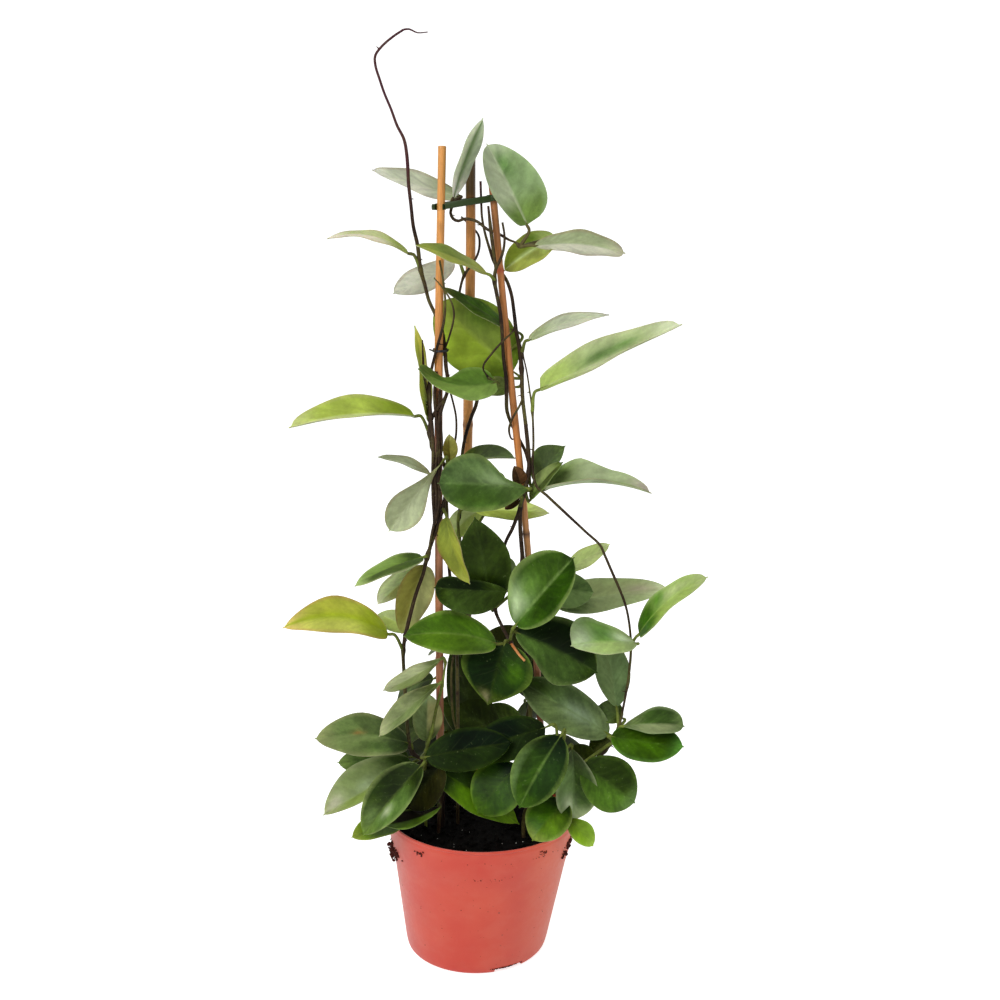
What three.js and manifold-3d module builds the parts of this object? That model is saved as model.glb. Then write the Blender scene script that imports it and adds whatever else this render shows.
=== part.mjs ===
import * as THREE from "three";
import { mergeVertices } from "three/addons/utils/BufferGeometryUtils.js";
import Module from "manifold-3d";

// Potted hoya on three bamboo canes. Millimetres, +Z up, the origin on the pot's flat underside, near its middle.
// The viewer stands on the -Y side. Leaves and stems were read off the photograph as [x, z] on the upright
// plane through the pot's axis, with a depth chosen by hand; seen() puts such a reading at its depth.

const wasm = await Module();
wasm.setup();

const EYE = new THREE.Vector3(18, -1000, 600);

const POT_HEIGHT = 118;
const POT_FOOT_R = 58;
const POT_TOP_R = 77.6;
const POT_WALL = 1.4;
const LIP_OUT = 1.8;
const LIP_TALL = 30;
const FOOT_ROUND = 6;
// The thin pot stands a little askew: its axis is off the stem readings' plane and leans to the right.
const POT_AT = [-1.8, -7.5];
const POT_LEAN = 0.05;
const POT_SIDES = 32;
const SOIL_TOP = 109;
const SOIL_GAP = 0.3;
const HOLE_GAP = 0.3;
const SOIL_SIDES = 28;

const CANE_LEFT_R = 3.2;
const CANE_RIGHT_R = 2.8;
const CANE_REAR_R = 3.9;
const CLIP_TALL = 4.4;
const CLIP_WALL = 2;

const STEM_SIDES = 5;
const STEM_BEND = 1;
const PETIOLE_R = 1.4;
const LEAF_THICK = 1.3;
const EDGE_THICK = 0.7;
const LEAF_ROWS = [0.05, 0.21, 0.48, 0.76, 0.94];
const LEAF_COLS = [-1, 0, 1];

const COLOURS = {
  pot: 0xcd5a48,
  soil: 0x241a14,
  cane: 0xc98a4e,
  clip: 0x1f3d2c,
  wire: 0x2b2b28,
  leaf: 0x41632d,
};

// Stems: each is a list of readings [x, z, depth]. A root is the true [x, y] where it enters the soil.
const STEMS = {
  vine_left: [
    {
      root: [-32, -36],
      r: 1.6,
      path: [[-32, 112, -36], [-31, 136, -35], [-35, 149, -33], [-45, 155.5, -32], [-54, 162, -31],
        [-57, 177, -30], [-58.5, 200, -29], [-59.5, 225, -28], [-60, 250, -27], [-58, 263, -27],
        [-54, 280, -26], [-49, 298, -25.5], [-43, 315, -25], [-39.5, 329, -24.5], [-35.5, 342, -24],
        [-31, 355, -23.8], [-27, 368, -21.8], [-24.5, 382, -17], [-24, 397, -10], [-28, 408, -6.5],
        [-34, 418, -8], [-37, 428, -13], [-35, 439, -18], [-29, 449, -19.5], [-24, 456, -17],
        [-22, 466, -12], [-23.5, 480, -10], [-24.3, 493, -8], [-26.5, 508, -2.5], [-31.5, 520, -2.5],
        [-36, 530, -2], [-39, 542, -2], [-42, 553, -2], [-44, 571, -2], [-47, 585, -2], [-48.5, 600, -2],
        [-50, 615, -2], [-51, 636, -2], [-53, 648, -2], [-58, 658, -1], [-62, 669, 0], [-67, 681, 2],
        [-70, 690, 4], [-73, 700, 6], [-73, 707, 8], [-68, 713.5, 8], [-60, 720, 8], [-52, 725, 8]],
    },
    {
      root: [-16.4, -22],
      r: 1.5,
      path: [[-17, 135, -22], [-16.5, 180, -22], [-16.5, 215, -22], [-17, 250, -20], [-20, 290, -14],
        [-23.5, 335, -12], [-24, 368, -10.5], [-26, 392, -4], [-31, 406, -5], [-35, 417, -9],
        [-36, 430, -17], [-36.5, 452, -14], [-36.5, 468, -12], [-34, 480, -15.5], [-30, 495, -17.4],
        [-25.2, 512, -15.6], [-23.6, 528, -13.2], [-25, 545, -14.8], [-27.6, 560, -14.6]],
    },
    { r: 0.8, path: [[-52, 725, 8], [-48, 725.3, 8], [-42, 722.8, 8], [-34.5, 723.3, 8]] },
    {
      r: 0.8,
      path: [[-24.3, 493, -8], [-20, 505, -11], [-17, 519, -13], [-19, 529, -15], [-26, 540, -16.5],
        [-32, 547, -17]],
    },
    {
      r: 0.9,
      path: [[-22, 466, -12], [-18.5, 453, -12], [-16, 440, -12], [-16.5, 424, -11], [-20, 412, -10],
        [-24, 400, -10]],
    },
    { r: 1, path: [[-36.5, 452, -14], [-40, 472, -15], [-41, 486, -17], [-41.3, 500, -18]] },
    {
      r: 1.5,
      path: [[-36.5, 466, -12], [-36, 448, -19], [-34.5, 430, -21], [-34, 412, -21.5], [-34.5, 394, -22],
        [-34.5, 376, -23], [-34, 360, -24], [-34.5, 345, -24]],
    },
    {
      r: 1.5,
      path: [[-24, 456, -17], [-28, 444, -20.5], [-30, 430, -21], [-29.5, 415, -21.2], [-30, 400, -22],
        [-30, 384, -23], [-30.5, 368, -24], [-31, 355, -23.8]],
    },
    { r: 1.1, path: [[-17, 254, -20], [-20.5, 240, -21.5], [-21.5, 216, -22], [-20, 192, -22.5], [-16.5, 178, -22]] },
  ],
  vine_right: [
    {
      root: [46, -21],
      r: 1.7,
      path: [[45.5, 130, -20], [43.5, 180, -18], [41, 230, -17], [38, 270, -16], [36, 300, -15.5],
        [36, 325, -15.5], [35, 338, -15.5], [34, 352, -15.5], [34, 368, -15.5], [37.5, 382, -16.5],
        [40.5, 397, -15], [40.5, 408, -13.5], [38, 434, -12.5], [35.5, 455, -11.5], [34.5, 478, -9],
        [33, 494, -7], [30.5, 506, -6], [28.8, 520, -4], [26.5, 535, -1], [22.5, 546, 1.5], [18, 552, 1.5],
        [13.4, 559, -1.5], [10, 569, -5], [6.5, 581, -6], [4.5, 592, -5], [4, 602, -4], [3.5, 618, -4]],
    },
    {
      root: [42, -34],
      r: 1.6,
      path: [[43, 114, -34], [51, 124, -36], [66, 134, -38], [80, 141, -38], [90, 148, -38], [100, 158, -33], [111, 173, -28], [115, 184, -25],
        [118.5, 202, -24], [121, 218, -23], [123, 237, -22], [123.5, 255, -22], [121, 272, -22],
        [116, 290, -22], [110, 305, -22], [103.5, 324, -23], [97, 338, -24], [86, 350, -25], [74, 361, -26],
        [55, 380, -26], [46, 391, -20], [43.5, 403, -16], [44, 420, -14], [43, 445, -14],
        [41, 460, -13], [38.5, 476, -11], [35, 491, -9]],
    },
    {
      r: 1.5,
      path: [[40.5, 404, -14], [37.5, 414, -4], [32, 425, 1.5], [26.5, 436, -2.5], [23.3, 446, -8.5], [23, 457, -11.4],
        [22.8, 470, -11.3], [20.8, 485, -11.5], [20, 498, -12.2], [19.3, 510, -12.8], [18, 522, -13],
        [15.5, 535, -12], [13.8, 545, -12], [15, 554, -13.5], [18.5, 561, -13], [21, 570, -10.5],
        [21.3, 579, -9], [19.8, 588, -9]],
    },
    { r: 1.5, path: [[15, 554, -13.5], [13.2, 566, -12], [11, 583, -11], [9.2, 600, -9.5]] },
    {
      r: 0.9,
      path: [[28.8, 518, -4.5], [28.6, 508, -12], [21, 500, -16], [12, 490, -15], [5, 479, -15],
        [9, 471, -15]],
    },
    { r: 1, path: [[35.5, 455, -11.5], [33, 449, -15], [28, 440, -15.5], [25, 431, -10], [27.5, 423, -1.5], [31, 424, 1]] },
    {
      r: 1.2,
      path: [[-14, 605, 7], [-17.5, 600, 4.5], [-19, 595, 2], [-17, 590.5, 1], [-13, 589, 0], [-9, 590.5, -1],
        [0, 589, -3], [5, 585.5, -6], [9, 582.5, -8], [12, 581.5, -1], [14.5, 580.5, 2.5], [18, 579, 0],
        [25, 575, -8], [30, 573, -12], [33, 570, -13]],
    },
    {
      r: 1.5,
      path: [[34, 368, -15.5], [31, 360, -17], [28, 352, -18], [22, 339, -14], [17, 312, -8], [14, 286, -12],
        [20, 270, -19], [26, 258, -23], [31, 251.5, -25], [36.5, 244, -27]],
    },
  ],
  vine_rear: [
    {
      root: [-12, 36],
      r: 1.5,
      path: [[-12, 140, 35], [-14, 240, 30], [-14, 330, 24], [-12, 405, 18], [-9, 425, 16], [-4, 441, 15],
        [0, 452, 17], [1, 475, 22], [-3, 495, 31], [-11.5, 510, 26], [-13.5, 525, 18], [-12.5, 537, 11],
        [-9, 549, 9.5], [-3, 557, 9.5], [1, 564, 11], [2.6, 571, 15], [1.6, 579, 21.5], [-4.5, 586, 25.5],
        [-11, 592, 22]],
    },
  ],
  stems_low_left: [
    {
      root: [-42, -28],
      r: 1.7,
      path: [[-43.5, 112, -28], [-43, 130, -30], [-44, 148, -36], [-43, 162, -38], [-38, 180, -38], [-34, 200, -38],
        [-29, 220, -37], [-26, 240, -36]],
    },
  ],
  stems_low_right: [
    { root: [37, -43], r: 1.7, path: [[39, 110, -43], [52, 130, -42], [64, 156, -38], [70, 171, -34]] },
  ],
  stems_back_left: [
    { root: [-34, 28], r: 1.7, path: [[-32.6, 150, 28], [-32, 180, 32], [-30, 210, 32], [-30, 240, 30]] },
  ],
  stems_back_right: [
    { root: [34, 30], r: 1.7, path: [[33.5, 150, 30], [38, 180, 34], [43, 210, 34], [46, 240, 32]] },
  ],
};

// Leaves: [joint on a stem], [base], [tip], width, turn, bow, fold, peak.
// turn 0 shows the upper side to the viewer, 90 has it facing up, 180 shows the underside.
// bow arches the blade, fold lifts its halves, peak is where it is widest.
const LEAVES = {
  vine_left: [
    [[-42, 553, -2], [-51, 565, -3], [-112, 576, -10], 27, 75, 8, 4, 0.4],
    [[-37, 428, -13], [-48, 441, -17], [-146, 432, -40], 40, 66, 6, 22, 0.45],
    [[-36.5, 452, -14], [-38, 441, -12], [-47, 511, -12], 25, 70, 1, 5, 0.4],
    [[-34, 418, -8], [-37, 396, -5], [-77, 409, 2], 24, 107, 3, 3, 0.4],
    [[-24, 397, -10], [-29, 402, -27], [-70, 350, -34], 31, 150, 2, -8, 0.7],
    [[-20, 412, -10], [-21, 405, -20], [-21.5, 427, -22], 12, 15, 1, 10, 0.5],
    [[-27, 368, -21.8], [-24, 361, -30], [-6, 306, -38], 32, -60, 3, 30, 0.45],
    [[-39.5, 329, -24.5], [-43, 328, -31], [-98, 304, -46], 27, 60, 3, 5, 0.4],
    [[-39.5, 329, -24.5], [-45, 319, -13], [-80, 289, -8], 28, 130, 2, 3, 0.45],
    [[-39.5, 329, -24.5], [-42, 322, -21], [-61, 264, -18], 29, 165, 2, -12, 0.42],
    [[-58, 263, -27], [-54, 268, -10], [-80, 281, -4], 20, 30, 1, 3, 0.5],
    [[-60, 250, -27], [-72, 264, -31], [-157, 269, -47], 44, 50, 15, 6, 0.45],
    [[-54, 162, -31], [-57, 170, -30], [-134, 174, -44], 43, 40, 7, 4, 0.5],
    [[-54, 162, -31], [-57, 158, -10], [-116, 153, -12], 26, 15, 0, 4, 0.5],
    [[-45, 155.5, -32], [-54, 153, -18], [-129, 106, -34], 44, 37, 0, 37, 0.5],
    [[-35, 149, -33], [-33, 147, -38], [34, 98, -46], 34, 25, 2, 10, 0.45],
    [[-35, 149, -33], [-34, 141, -40], [-58, 113, -44], 22, 30, 2, 5, 0.5],
  ],
  vine_right: [
    [[-14, 605, 7], [-12, 607, 12], [-77, 626, 34], 38, 113, 0, 3, 0.42],
    [[-14, 605, 7], [-11, 609, -5], [4, 663, -5], 24, -62, -2, 8, 0.55],
    [[33, 570, -13], [38, 586, -15], [8, 645, -14], 45, 26, 1, 26, 0.38],
    [[33, 570, -13], [44, 571, -16], [111, 565, -26], 36, 118, 5, 3, 0.5],
    [[33, 570, -13], [57, 578, 4], [21, 552, 4], 34, 50, 2, 8, 0.5],
    [[13.8, 545, -12], [8, 550, -20], [-45, 571, -40], 30, 72, 2, 6, 0.5],
    [[9, 471, -15], [15, 467, -20], [-45, 478, -42], 40, 62, -8, 2, 0.35],
    [[34.5, 478, -9], [28, 464, 4], [0, 462, 4], 26, 125, 1, 3, 0.5],
    [[35, 491, -9], [40, 500, -11], [101, 519, -20], 28, 110, 5, 3, 0.45],
    [[43, 445, -14], [49, 462, -16], [157, 512, -34], 40, 68, 0, 22, 0.42],
    [[40.5, 397, -15], [45, 389, -4], [69, 418, 4], 25, 20, 2, 6, 0.55],
    [[37.5, 382, -16.5], [42, 375, -16], [67, 405, -12], 22, 60, 2, 10, 0.5],
    [[37.5, 382, -16.5], [53, 383, -11], [137, 380, -26], 42, 66, 8, 28, 0.3],
    [[37.5, 382, -16.5], [40, 384, -24], [-31, 388, -40], 47, 20, 3, 8, 0.65],
    [[37.5, 382, -16.5], [34, 387, -16.5], [29, 402, -17], 13, 20, 1, 20, 0.4],
    [[34, 368, -15.5], [33, 376, -20], [22, 367, -21], 10, 20, 1, 20, 0.4],
    [[36, 325, -15.5], [66, 314, -18], [105, 339, -15], 19, 138, 1, 3, 0.55],
    [[36, 300, -15.5], [62, 291, 8], [152, 303, 4], 36, 143, 1, 3, 0.4],
    [[36, 300, -15.5], [48, 301, -19], [93, 299, -17], 30, 20, 2, 4, 0.55],
    [[26, 258, -23], [31, 272, -30], [73, 329, -42], 54, 25, 2, 25, 0.52],
    [[17, 312, -8], [8, 303, -10], [-2, 361, -20], 42, 5, 2, 6, 0.55],
    [[14, 286, -12], [23, 300, -20], [-35, 303, -32], 38, -8, 3, 5, 0.5],
    [[26, 258, -23], [15, 256, -29], [-60, 262, -44], 42, 38, 8, 6, 0.5],
    [[26, 258, -23], [31, 265.5, -25], [97, 231, -42], 55, 20, 4, 6, 0.5],
    [[26, 258, -23], [22, 257, -27], [8, 203.5, -36], 58, 8, 3, 4, 0.42],
    [[123.5, 255, -22], [128, 256, -26], [70, 263, -44], 40, 48, 3, 10, 0.6],
    [[123.5, 255, -22], [130, 264, -26], [184, 312, -36], 38, 62, 6, 8, 0.4],
    [[115, 184, -25], [113, 202, -20], [103, 262, -14], 30, 160, 2, 4, 0.55],
    [[111, 173, -28], [107, 175, -23.5], [36, 222, -23], 38, 8, 2, 3, 0.5],
    [[111, 173, -28], [108, 176, -22], [92, 162, -16], 18, 15, 1, 5, 0.5],
    [[115, 184, -25], [120, 186, -28], [168, 184, -38], 36, 56, 2, 12, 0.6],
    [[111, 173, -28], [112, 176, -36], [169, 165, -50], 40, 42, -1, 2, 0.5],
    [[115, 184, -25], [118, 192, -18], [98, 203, -12], 20, 15, 1, 4, 0.5],
    [[90, 148, -38], [93, 148, -30], [130, 118, -46], 42, 12, 3, 4, 0.5],
    [[90, 148, -38], [94, 151, -24], [130, 142, -24], 20, 30, 2, 4, 0.5],
    [[90, 148, -38], [96, 150, -22], [75, 167, -20], 20, 10, 1, 4, 0.5],
  ],
  vine_rear: [
    [[-9, 549, 9.5], [-17, 559, 15], [-63, 535, 24], 36, 125, -1, 0, 0.5],
    [[1, 475, 22], [22, 479, 9], [-31, 528, 7], 54, 172, 3, 4, 0.5],
    [[1, 475, 22], [21, 513, 3], [-21, 537, 1], 18, 60, 1, 3, 0.5],
    [[-12, 405, 18], [-14, 403, 3], [30, 408, 2], 36, 70, 3, 18, 0.5],
    [[-14, 330, 24], [-2, 366, 12], [57, 364, 10], 30, 60, 1, 3, 0.5],
    [[-14, 330, 24], [3, 368, 19], [-24, 345, 19], 22, 170, 2, 5, 0.5],
    [[-12, 405, 18], [8, 398, 34], [26, 384, 64], 40, 40, 5, 6, 0.5],
    [[-14, 330, 24], [9, 325, 36], [24, 300, 66], 34, 30, 5, 6, 0.5],
    [[-14, 240, 30], [-20, 262, 38], [-30, 258, 76], 40, 50, 5, 6, 0.5],
    [[-14, 240, 30], [4, 240, 40], [20, 222, 74], 44, 30, 5, 6, 0.5],
    [[-13, 190, 32], [16, 178, 12], [-30, 208, 8], 44, 25, 3, 6, 0.5],
    [[-14, 240, 30], [-2, 178, 19], [-20, 254, 14], 34, 20, 3, 6, 0.5],
  ],
  stems_low_left: [
    [[-26, 240, -36], [-30, 243, -42], [-77, 216, -56], 31, 115, -1, 0, 0.6],
    [[-29, 220, -37], [-31, 222, -42], [-81, 176, -54], 34, 62, 1, 12, 0.6],
    [[-38, 180, -38], [-42, 172, -34], [-41, 214, -31], 24, 12, 1, 5, 0.5],
    [[-44, 148, -36], [-47, 150, -52], [-96, 88, -72], 40, 30, 2, 22, 0.5],
    [[-43, 130, -30], [-64, 98, -48], [-106, 86, -60], 30, 52, 3, 5, 0.5],
    [[-43, 130, -30], [-32, 113, -52], [-79, 97, -66], 30, 62, -3, 8, 0.6],
    [[-43, 162, -38], [-43, 158, -51], [28, 171, -51], 34, 10, 2, 4, 0.5],
  ],
  stems_low_right: [
    [[70, 171, -34], [65, 176, -54], [31, 113, -75], 42, 15, 5, 6, 0.5],
    [[64, 156, -38], [78, 165, -38], [80, 101, -54], 34, 20, 4, 22, 0.5],
    [[52, 126, -44], [70, 114, -50], [48, 84, -68], 34, 30, 3, 5, 0.5],
    [[52, 126, -44], [76, 101, -56], [96, 78, -68], 18, 35, 2, 8, 0.6],
    [[64, 156, -38], [33, 150, -45], [-1, 108, -57], 44, 18, 4, 4, 0.5],
    [[64, 156, -38], [55, 184, -43], [-7, 163, -43], 34, 5, 1, 4, 0.5],
  ],
  stems_back_left: [
    [[-30, 200, 34], [-36, 188, 44], [-98, 158, 70], 40, 45, 6, 6, 0.5],
    [[-32, 180, 32], [-40, 168, 46], [-88, 136, 76], 40, 50, 6, 6, 0.5],
    [[-30, 210, 32], [-24, 200, 46], [-36, 162, 82], 40, 35, 6, 6, 0.5],
    [[-32, 180, 32], [-20, 178, 56], [4, 166, 92], 36, 40, 6, 6, 0.5],
    [[-30, 240, 30], [-36, 226, 40], [-66, 206, 60], 30, 50, 5, 6, 0.5],
  ],
  stems_back_right: [
    [[43, 210, 34], [50, 200, 46], [104, 188, 70], 36, 45, 6, 6, 0.5],
    [[38, 180, 34], [48, 166, 48], [100, 146, 76], 40, 50, 6, 6, 0.5],
    [[43, 210, 34], [38, 206, 48], [34, 184, 86], 36, 45, 5, 6, 0.5],
    [[38, 180, 34], [36, 172, 52], [62, 158, 90], 34, 45, 5, 6, 0.5],
    [[46, 240, 32], [52, 240, 42], [78, 240, 66], 36, 60, 5, 6, 0.5],
    [[46, 240, 32], [48, 247, 14], [4, 262, 12], 32, 20, 3, 6, 0.5],
    [[43, 210, 34], [76, 208, 19], [20, 238, 14], 38, 20, 3, 6, 0.5],
    [[38, 180, 34], [36, 182, 32], [8, 203, 29], 22, 20, 2, 6, 0.5],
  ],
};

const group = new THREE.Group();

function seen(reading) {
  const [x, z, depth] = reading;
  const k = 1 + depth / -EYE.y;
  return new THREE.Vector3(EYE.x + (x - EYE.x) * k, depth, EYE.z + (z - EYE.z) * k);
}

function solidOf(geometry) {
  const plain = geometry.clone();
  plain.deleteAttribute("normal");
  plain.deleteAttribute("uv");
  const merged = mergeVertices(plain, 1e-4);
  const made = new wasm.Manifold(
    new wasm.Mesh({
      numProp: 3,
      vertProperties: merged.attributes.position.array,
      triVerts: new Uint32Array(merged.index.array),
    }),
  );
  return made;
}

function addNode(name, solid, colour) {
  const mesh = solid.getMesh();
  const n = mesh.numProp;
  const points = new Float32Array(mesh.numVert * 3);
  for (let i = 0; i < mesh.numVert; i++) points.set(mesh.vertProperties.subarray(i * n, i * n + 3), i * 3);
  const geometry = new THREE.BufferGeometry();
  geometry.setAttribute("position", new THREE.BufferAttribute(points, 3));
  geometry.setIndex(new THREE.BufferAttribute(mesh.triVerts, 1));
  geometry.computeVertexNormals();
  const material = new THREE.MeshStandardMaterial({ color: colour, roughness: 0.5, metalness: 0 });
  const made = new THREE.Mesh(geometry, material);
  made.name = name;
  group.add(made);
}

function meshFrom(points, faces) {
  const flat = new Float32Array(points.length * 3);
  points.forEach((p, i) => flat.set([p.x, p.y, p.z], i * 3));
  const geometry = new THREE.BufferGeometry();
  geometry.setAttribute("position", new THREE.BufferAttribute(flat, 3));
  geometry.setIndex(faces.flat());
  return geometry;
}

// Leaves out the samples of a curve that lie within `slack` of the line through their neighbours.
function keepBends(points, slack, from = 0, to = points.length - 1) {
  const line = new THREE.Line3(points[from], points[to]);
  const nearest = new THREE.Vector3();
  let worst = slack;
  let at = -1;
  for (let i = from + 1; i < to; i++) {
    line.closestPointToPoint(points[i], true, nearest);
    const off = nearest.distanceTo(points[i]);
    if (off > worst) {
      worst = off;
      at = i;
    }
  }
  if (at < 0) return [from, to];
  return [...keepBends(points, slack, from, at).slice(0, -1), ...keepBends(points, slack, at, to)];
}

// A closed tube along a smooth curve: rings of points, with a point at the middle of each end.
function tube(points, radius, sides, slack) {
  const curve = new THREE.CatmullRomCurve3(points, false, "centripetal");
  const count = Math.max(4, Math.ceil(curve.getLength() / 3));
  const samples = curve.getSpacedPoints(count);
  const frames = curve.computeFrenetFrames(count, false);
  const kept = keepBends(samples, slack);
  const made = [];
  for (const i of kept) {
    for (let j = 0; j < sides; j++) {
      const a = (2 * Math.PI * j) / sides;
      const out = frames.normals[i].clone().multiplyScalar(Math.cos(a) * radius);
      out.addScaledVector(frames.binormals[i], Math.sin(a) * radius);
      made.push(samples[i].clone().add(out));
    }
  }
  const faces = [];
  const rings = kept.length - 1;
  for (let i = 0; i < rings; i++) {
    for (let j = 0; j < sides; j++) {
      const k = (j + 1) % sides;
      const a = i * sides + j;
      const b = i * sides + k;
      faces.push([a, b, b + sides], [a, b + sides, a + sides]);
    }
  }
  const start = made.push(samples[0]) - 1;
  const end = made.push(samples[count]) - 1;
  for (let j = 0; j < sides; j++) {
    const k = (j + 1) % sides;
    faces.push([start, k, j], [end, rings * sides + j, rings * sides + k]);
  }
  return { solid: solidOf(meshFrom(made, faces)), curve };
}

function stemPoints(stem) {
  const points = stem.path.map(seen);
  if (stem.root) points.unshift(new THREE.Vector3(stem.root[0], stem.root[1], SOIL_TOP - 10));
  if (stem.root) points.unshift(new THREE.Vector3(stem.root[0], stem.root[1], SOIL_TOP - 44));
  return points;
}

// The directions of a blade: along it, out of its upper side and across it.
function bladeFrame(base, tip, turn) {
  const along = tip.clone().sub(base).normalize();
  const middle = base.clone().add(tip).multiplyScalar(0.5);
  const toEye = EYE.clone().sub(middle).normalize();
  toEye.addScaledVector(along, -toEye.dot(along)).normalize();
  const up = along.clone().cross(toEye);
  if (up.z + 0.2 * up.x < 0) up.negate();
  const a = (turn * Math.PI) / 180;
  const out = toEye.multiplyScalar(Math.cos(a)).addScaledVector(up, Math.sin(a));
  return { along, out, across: out.clone().cross(along) };
}

// Half the width at a share s of the length: 0 at both ends and 1 at the peak.
function halfWidth(s, peak) {
  const k = Math.log(0.5) / Math.log(peak);
  return Math.pow(Math.sin(Math.PI * Math.pow(Math.min(Math.max(s, 0), 1), k)), s ** k > 0.5 ? 0.66 : 0.58);
}

function bladePoint(leaf, s, t) {
  const [, baseAt, tipAt, width, turn, bow, fold, peak] = leaf;
  const base = seen(baseAt);
  const tip = seen(tipAt);
  const { along, out, across } = bladeFrame(base, tip, turn);
  const half = Math.max(0.5 * width * halfWidth(s, peak), 0.7);
  const a = (fold * Math.PI) / 180;
  const point = base.clone().lerp(tip, s);
  point.addScaledVector(out, bow * 4 * s * (1 - s) + half * Math.sin(a) * Math.pow(Math.abs(t), 1.3));
  point.addScaledVector(across, half * Math.cos(a) * t);
  return { point, out, along };
}

// A blade is thickest along its midrib and has a true edge; both faces are split alike.
function blade(leaf) {
  const points = [];
  const cols = LEAF_COLS.length;
  for (const side of [1, -1]) {
    for (const s of LEAF_ROWS) {
      for (const t of LEAF_COLS) {
        const { point, out } = bladePoint(leaf, s, t);
        const thick = LEAF_THICK + (EDGE_THICK - LEAF_THICK) * Math.abs(t);
        points.push(point.addScaledVector(out, (side * thick) / 2));
      }
    }
  }
  const under = LEAF_ROWS.length * cols;
  const last = (LEAF_ROWS.length - 1) * cols;
  const ends = [0, 1].map((s) => {
    const at = points.length;
    for (const side of [1, -1]) {
      const { point, out } = bladePoint(leaf, s, 0);
      points.push(point.addScaledVector(out, (side * EDGE_THICK) / 2));
    }
    return at;
  });
  const faces = [];
  const quad = (a, b, c, d) => faces.push([a, b, c], [a, c, d]);
  for (let i = 0; i < LEAF_ROWS.length - 1; i++) {
    for (let j = 0; j < cols - 1; j++) {
      const a = i * cols + j;
      quad(a, a + cols, a + cols + 1, a + 1);
      faces.push([under + a, under + a + cols + 1, under + a + cols], [under + a, under + a + 1, under + a + cols + 1]);
    }
    const left = i * cols;
    const right = left + cols - 1;
    quad(left, under + left, under + left + cols, left + cols);
    quad(right, right + cols, under + right + cols, under + right);
  }
  const [base, tip] = ends;
  for (let j = 0; j < cols - 1; j++) {
    faces.push([base, j, j + 1], [base + 1, under + j + 1, under + j]);
    faces.push([tip, last + j + 1, last + j], [tip + 1, under + last + j, under + last + j + 1]);
  }
  quad(base, base + 1, under, 0);
  quad(base, cols - 1, under + cols - 1, base + 1);
  quad(tip, last, under + last, tip + 1);
  quad(tip, tip + 1, under + last + cols - 1, last + cols - 1);
  return solidOf(meshFrom(points, faces));
}

function nearestOn(curves, target) {
  let best = null;
  let least = Infinity;
  for (const curve of curves) {
    for (const p of curve.getSpacedPoints(200)) {
      const d = p.distanceTo(target);
      if (d < least) {
        least = d;
        best = p;
      }
    }
  }
  return best;
}

// The leaf's stalk, from its joint on the stem into the blade's midrib.
function petiole(leaf, curves) {
  const joint = nearestOn(curves, seen(leaf[0]));
  const base = bladePoint(leaf, 0.01, 0);
  const inside = bladePoint(leaf, 0.14, 0);
  const reach = joint.distanceTo(base.point);
  const bend = base.point.clone().addScaledVector(base.along, -0.4 * reach);
  return tube([joint, bend, base.point, inside.point], PETIOLE_R, 3, 2.5).solid;
}

function leafyNode(name) {
  const stems = STEMS[name].map((stem) => tube(stemPoints(stem), stem.r, stem.r > 1.3 ? STEM_SIDES : 4, STEM_BEND));
  const curves = stems.map((stem) => stem.curve);
  let solid = stems.map((stem) => stem.solid).reduce((a, b) => a.add(b));
  for (const leaf of LEAVES[name]) {
    solid = solid.add(blade(leaf));
    solid = solid.add(petiole(leaf, curves));
  }
  return solid;
}

function canePoints(list) {
  return list.map(([x, y, z]) => new THREE.Vector3(x, y, z));
}

const CANES = {
  cane_left: { r: CANE_LEFT_R, path: canePoints([[-24.6, -5, 643], [-28.2, -11.5, 500], [-29.6, -19, 320], [-30, -27, 20]]) },
  cane_right: { r: CANE_RIGHT_R, path: canePoints([[10.5, -3.5, 632], [25.3, -7, 480], [38.6, -10, 350], [50.2, -10, 200], [56.5, -9, 60]]) },
  cane_rear: { r: CANE_REAR_R, path: canePoints([[-4.2, 14, 640], [-4.6, 18, 560], [-7.6, 28, 430], [-12, 46, 24]]) },
};

function lathe(profile, sides) {
  const points = profile.map(([r, z]) => new THREE.Vector2(r, z));
  const geometry = new THREE.LatheGeometry(points, sides);
  geometry.rotateX(Math.PI / 2);
  const lean = new THREE.Matrix4().makeShear(0, 0, 0, 0, POT_LEAN, 0);
  geometry.applyMatrix4(lean.setPosition(POT_AT[0], POT_AT[1], 0));
  return solidOf(geometry);
}

function wallAt(z) {
  return POT_FOOT_R + ((POT_TOP_R - POT_FOOT_R) * z) / POT_HEIGHT;
}

function potSolid() {
  const lipZ = POT_HEIGHT - LIP_TALL;
  const outer = [
    [0, 0],
    [POT_FOOT_R - FOOT_ROUND + 1, 0],
    [POT_FOOT_R - 1.6, 1.8],
    [wallAt(FOOT_ROUND), FOOT_ROUND],
    [wallAt(lipZ), lipZ],
    [wallAt(lipZ) + LIP_OUT, lipZ + 1.5],
    [POT_TOP_R + LIP_OUT, POT_HEIGHT],
  ];
  const inner = [
    [POT_TOP_R + LIP_OUT - POT_WALL, POT_HEIGHT],
    [wallAt(lipZ) - POT_WALL, lipZ - 1],
    [wallAt(FOOT_ROUND) - POT_WALL, FOOT_ROUND + POT_WALL],
    [POT_FOOT_R - FOOT_ROUND, POT_WALL + 0.6],
    [0, POT_WALL + 0.6],
  ];
  return lathe([...outer, ...inner], POT_SIDES);
}

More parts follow.
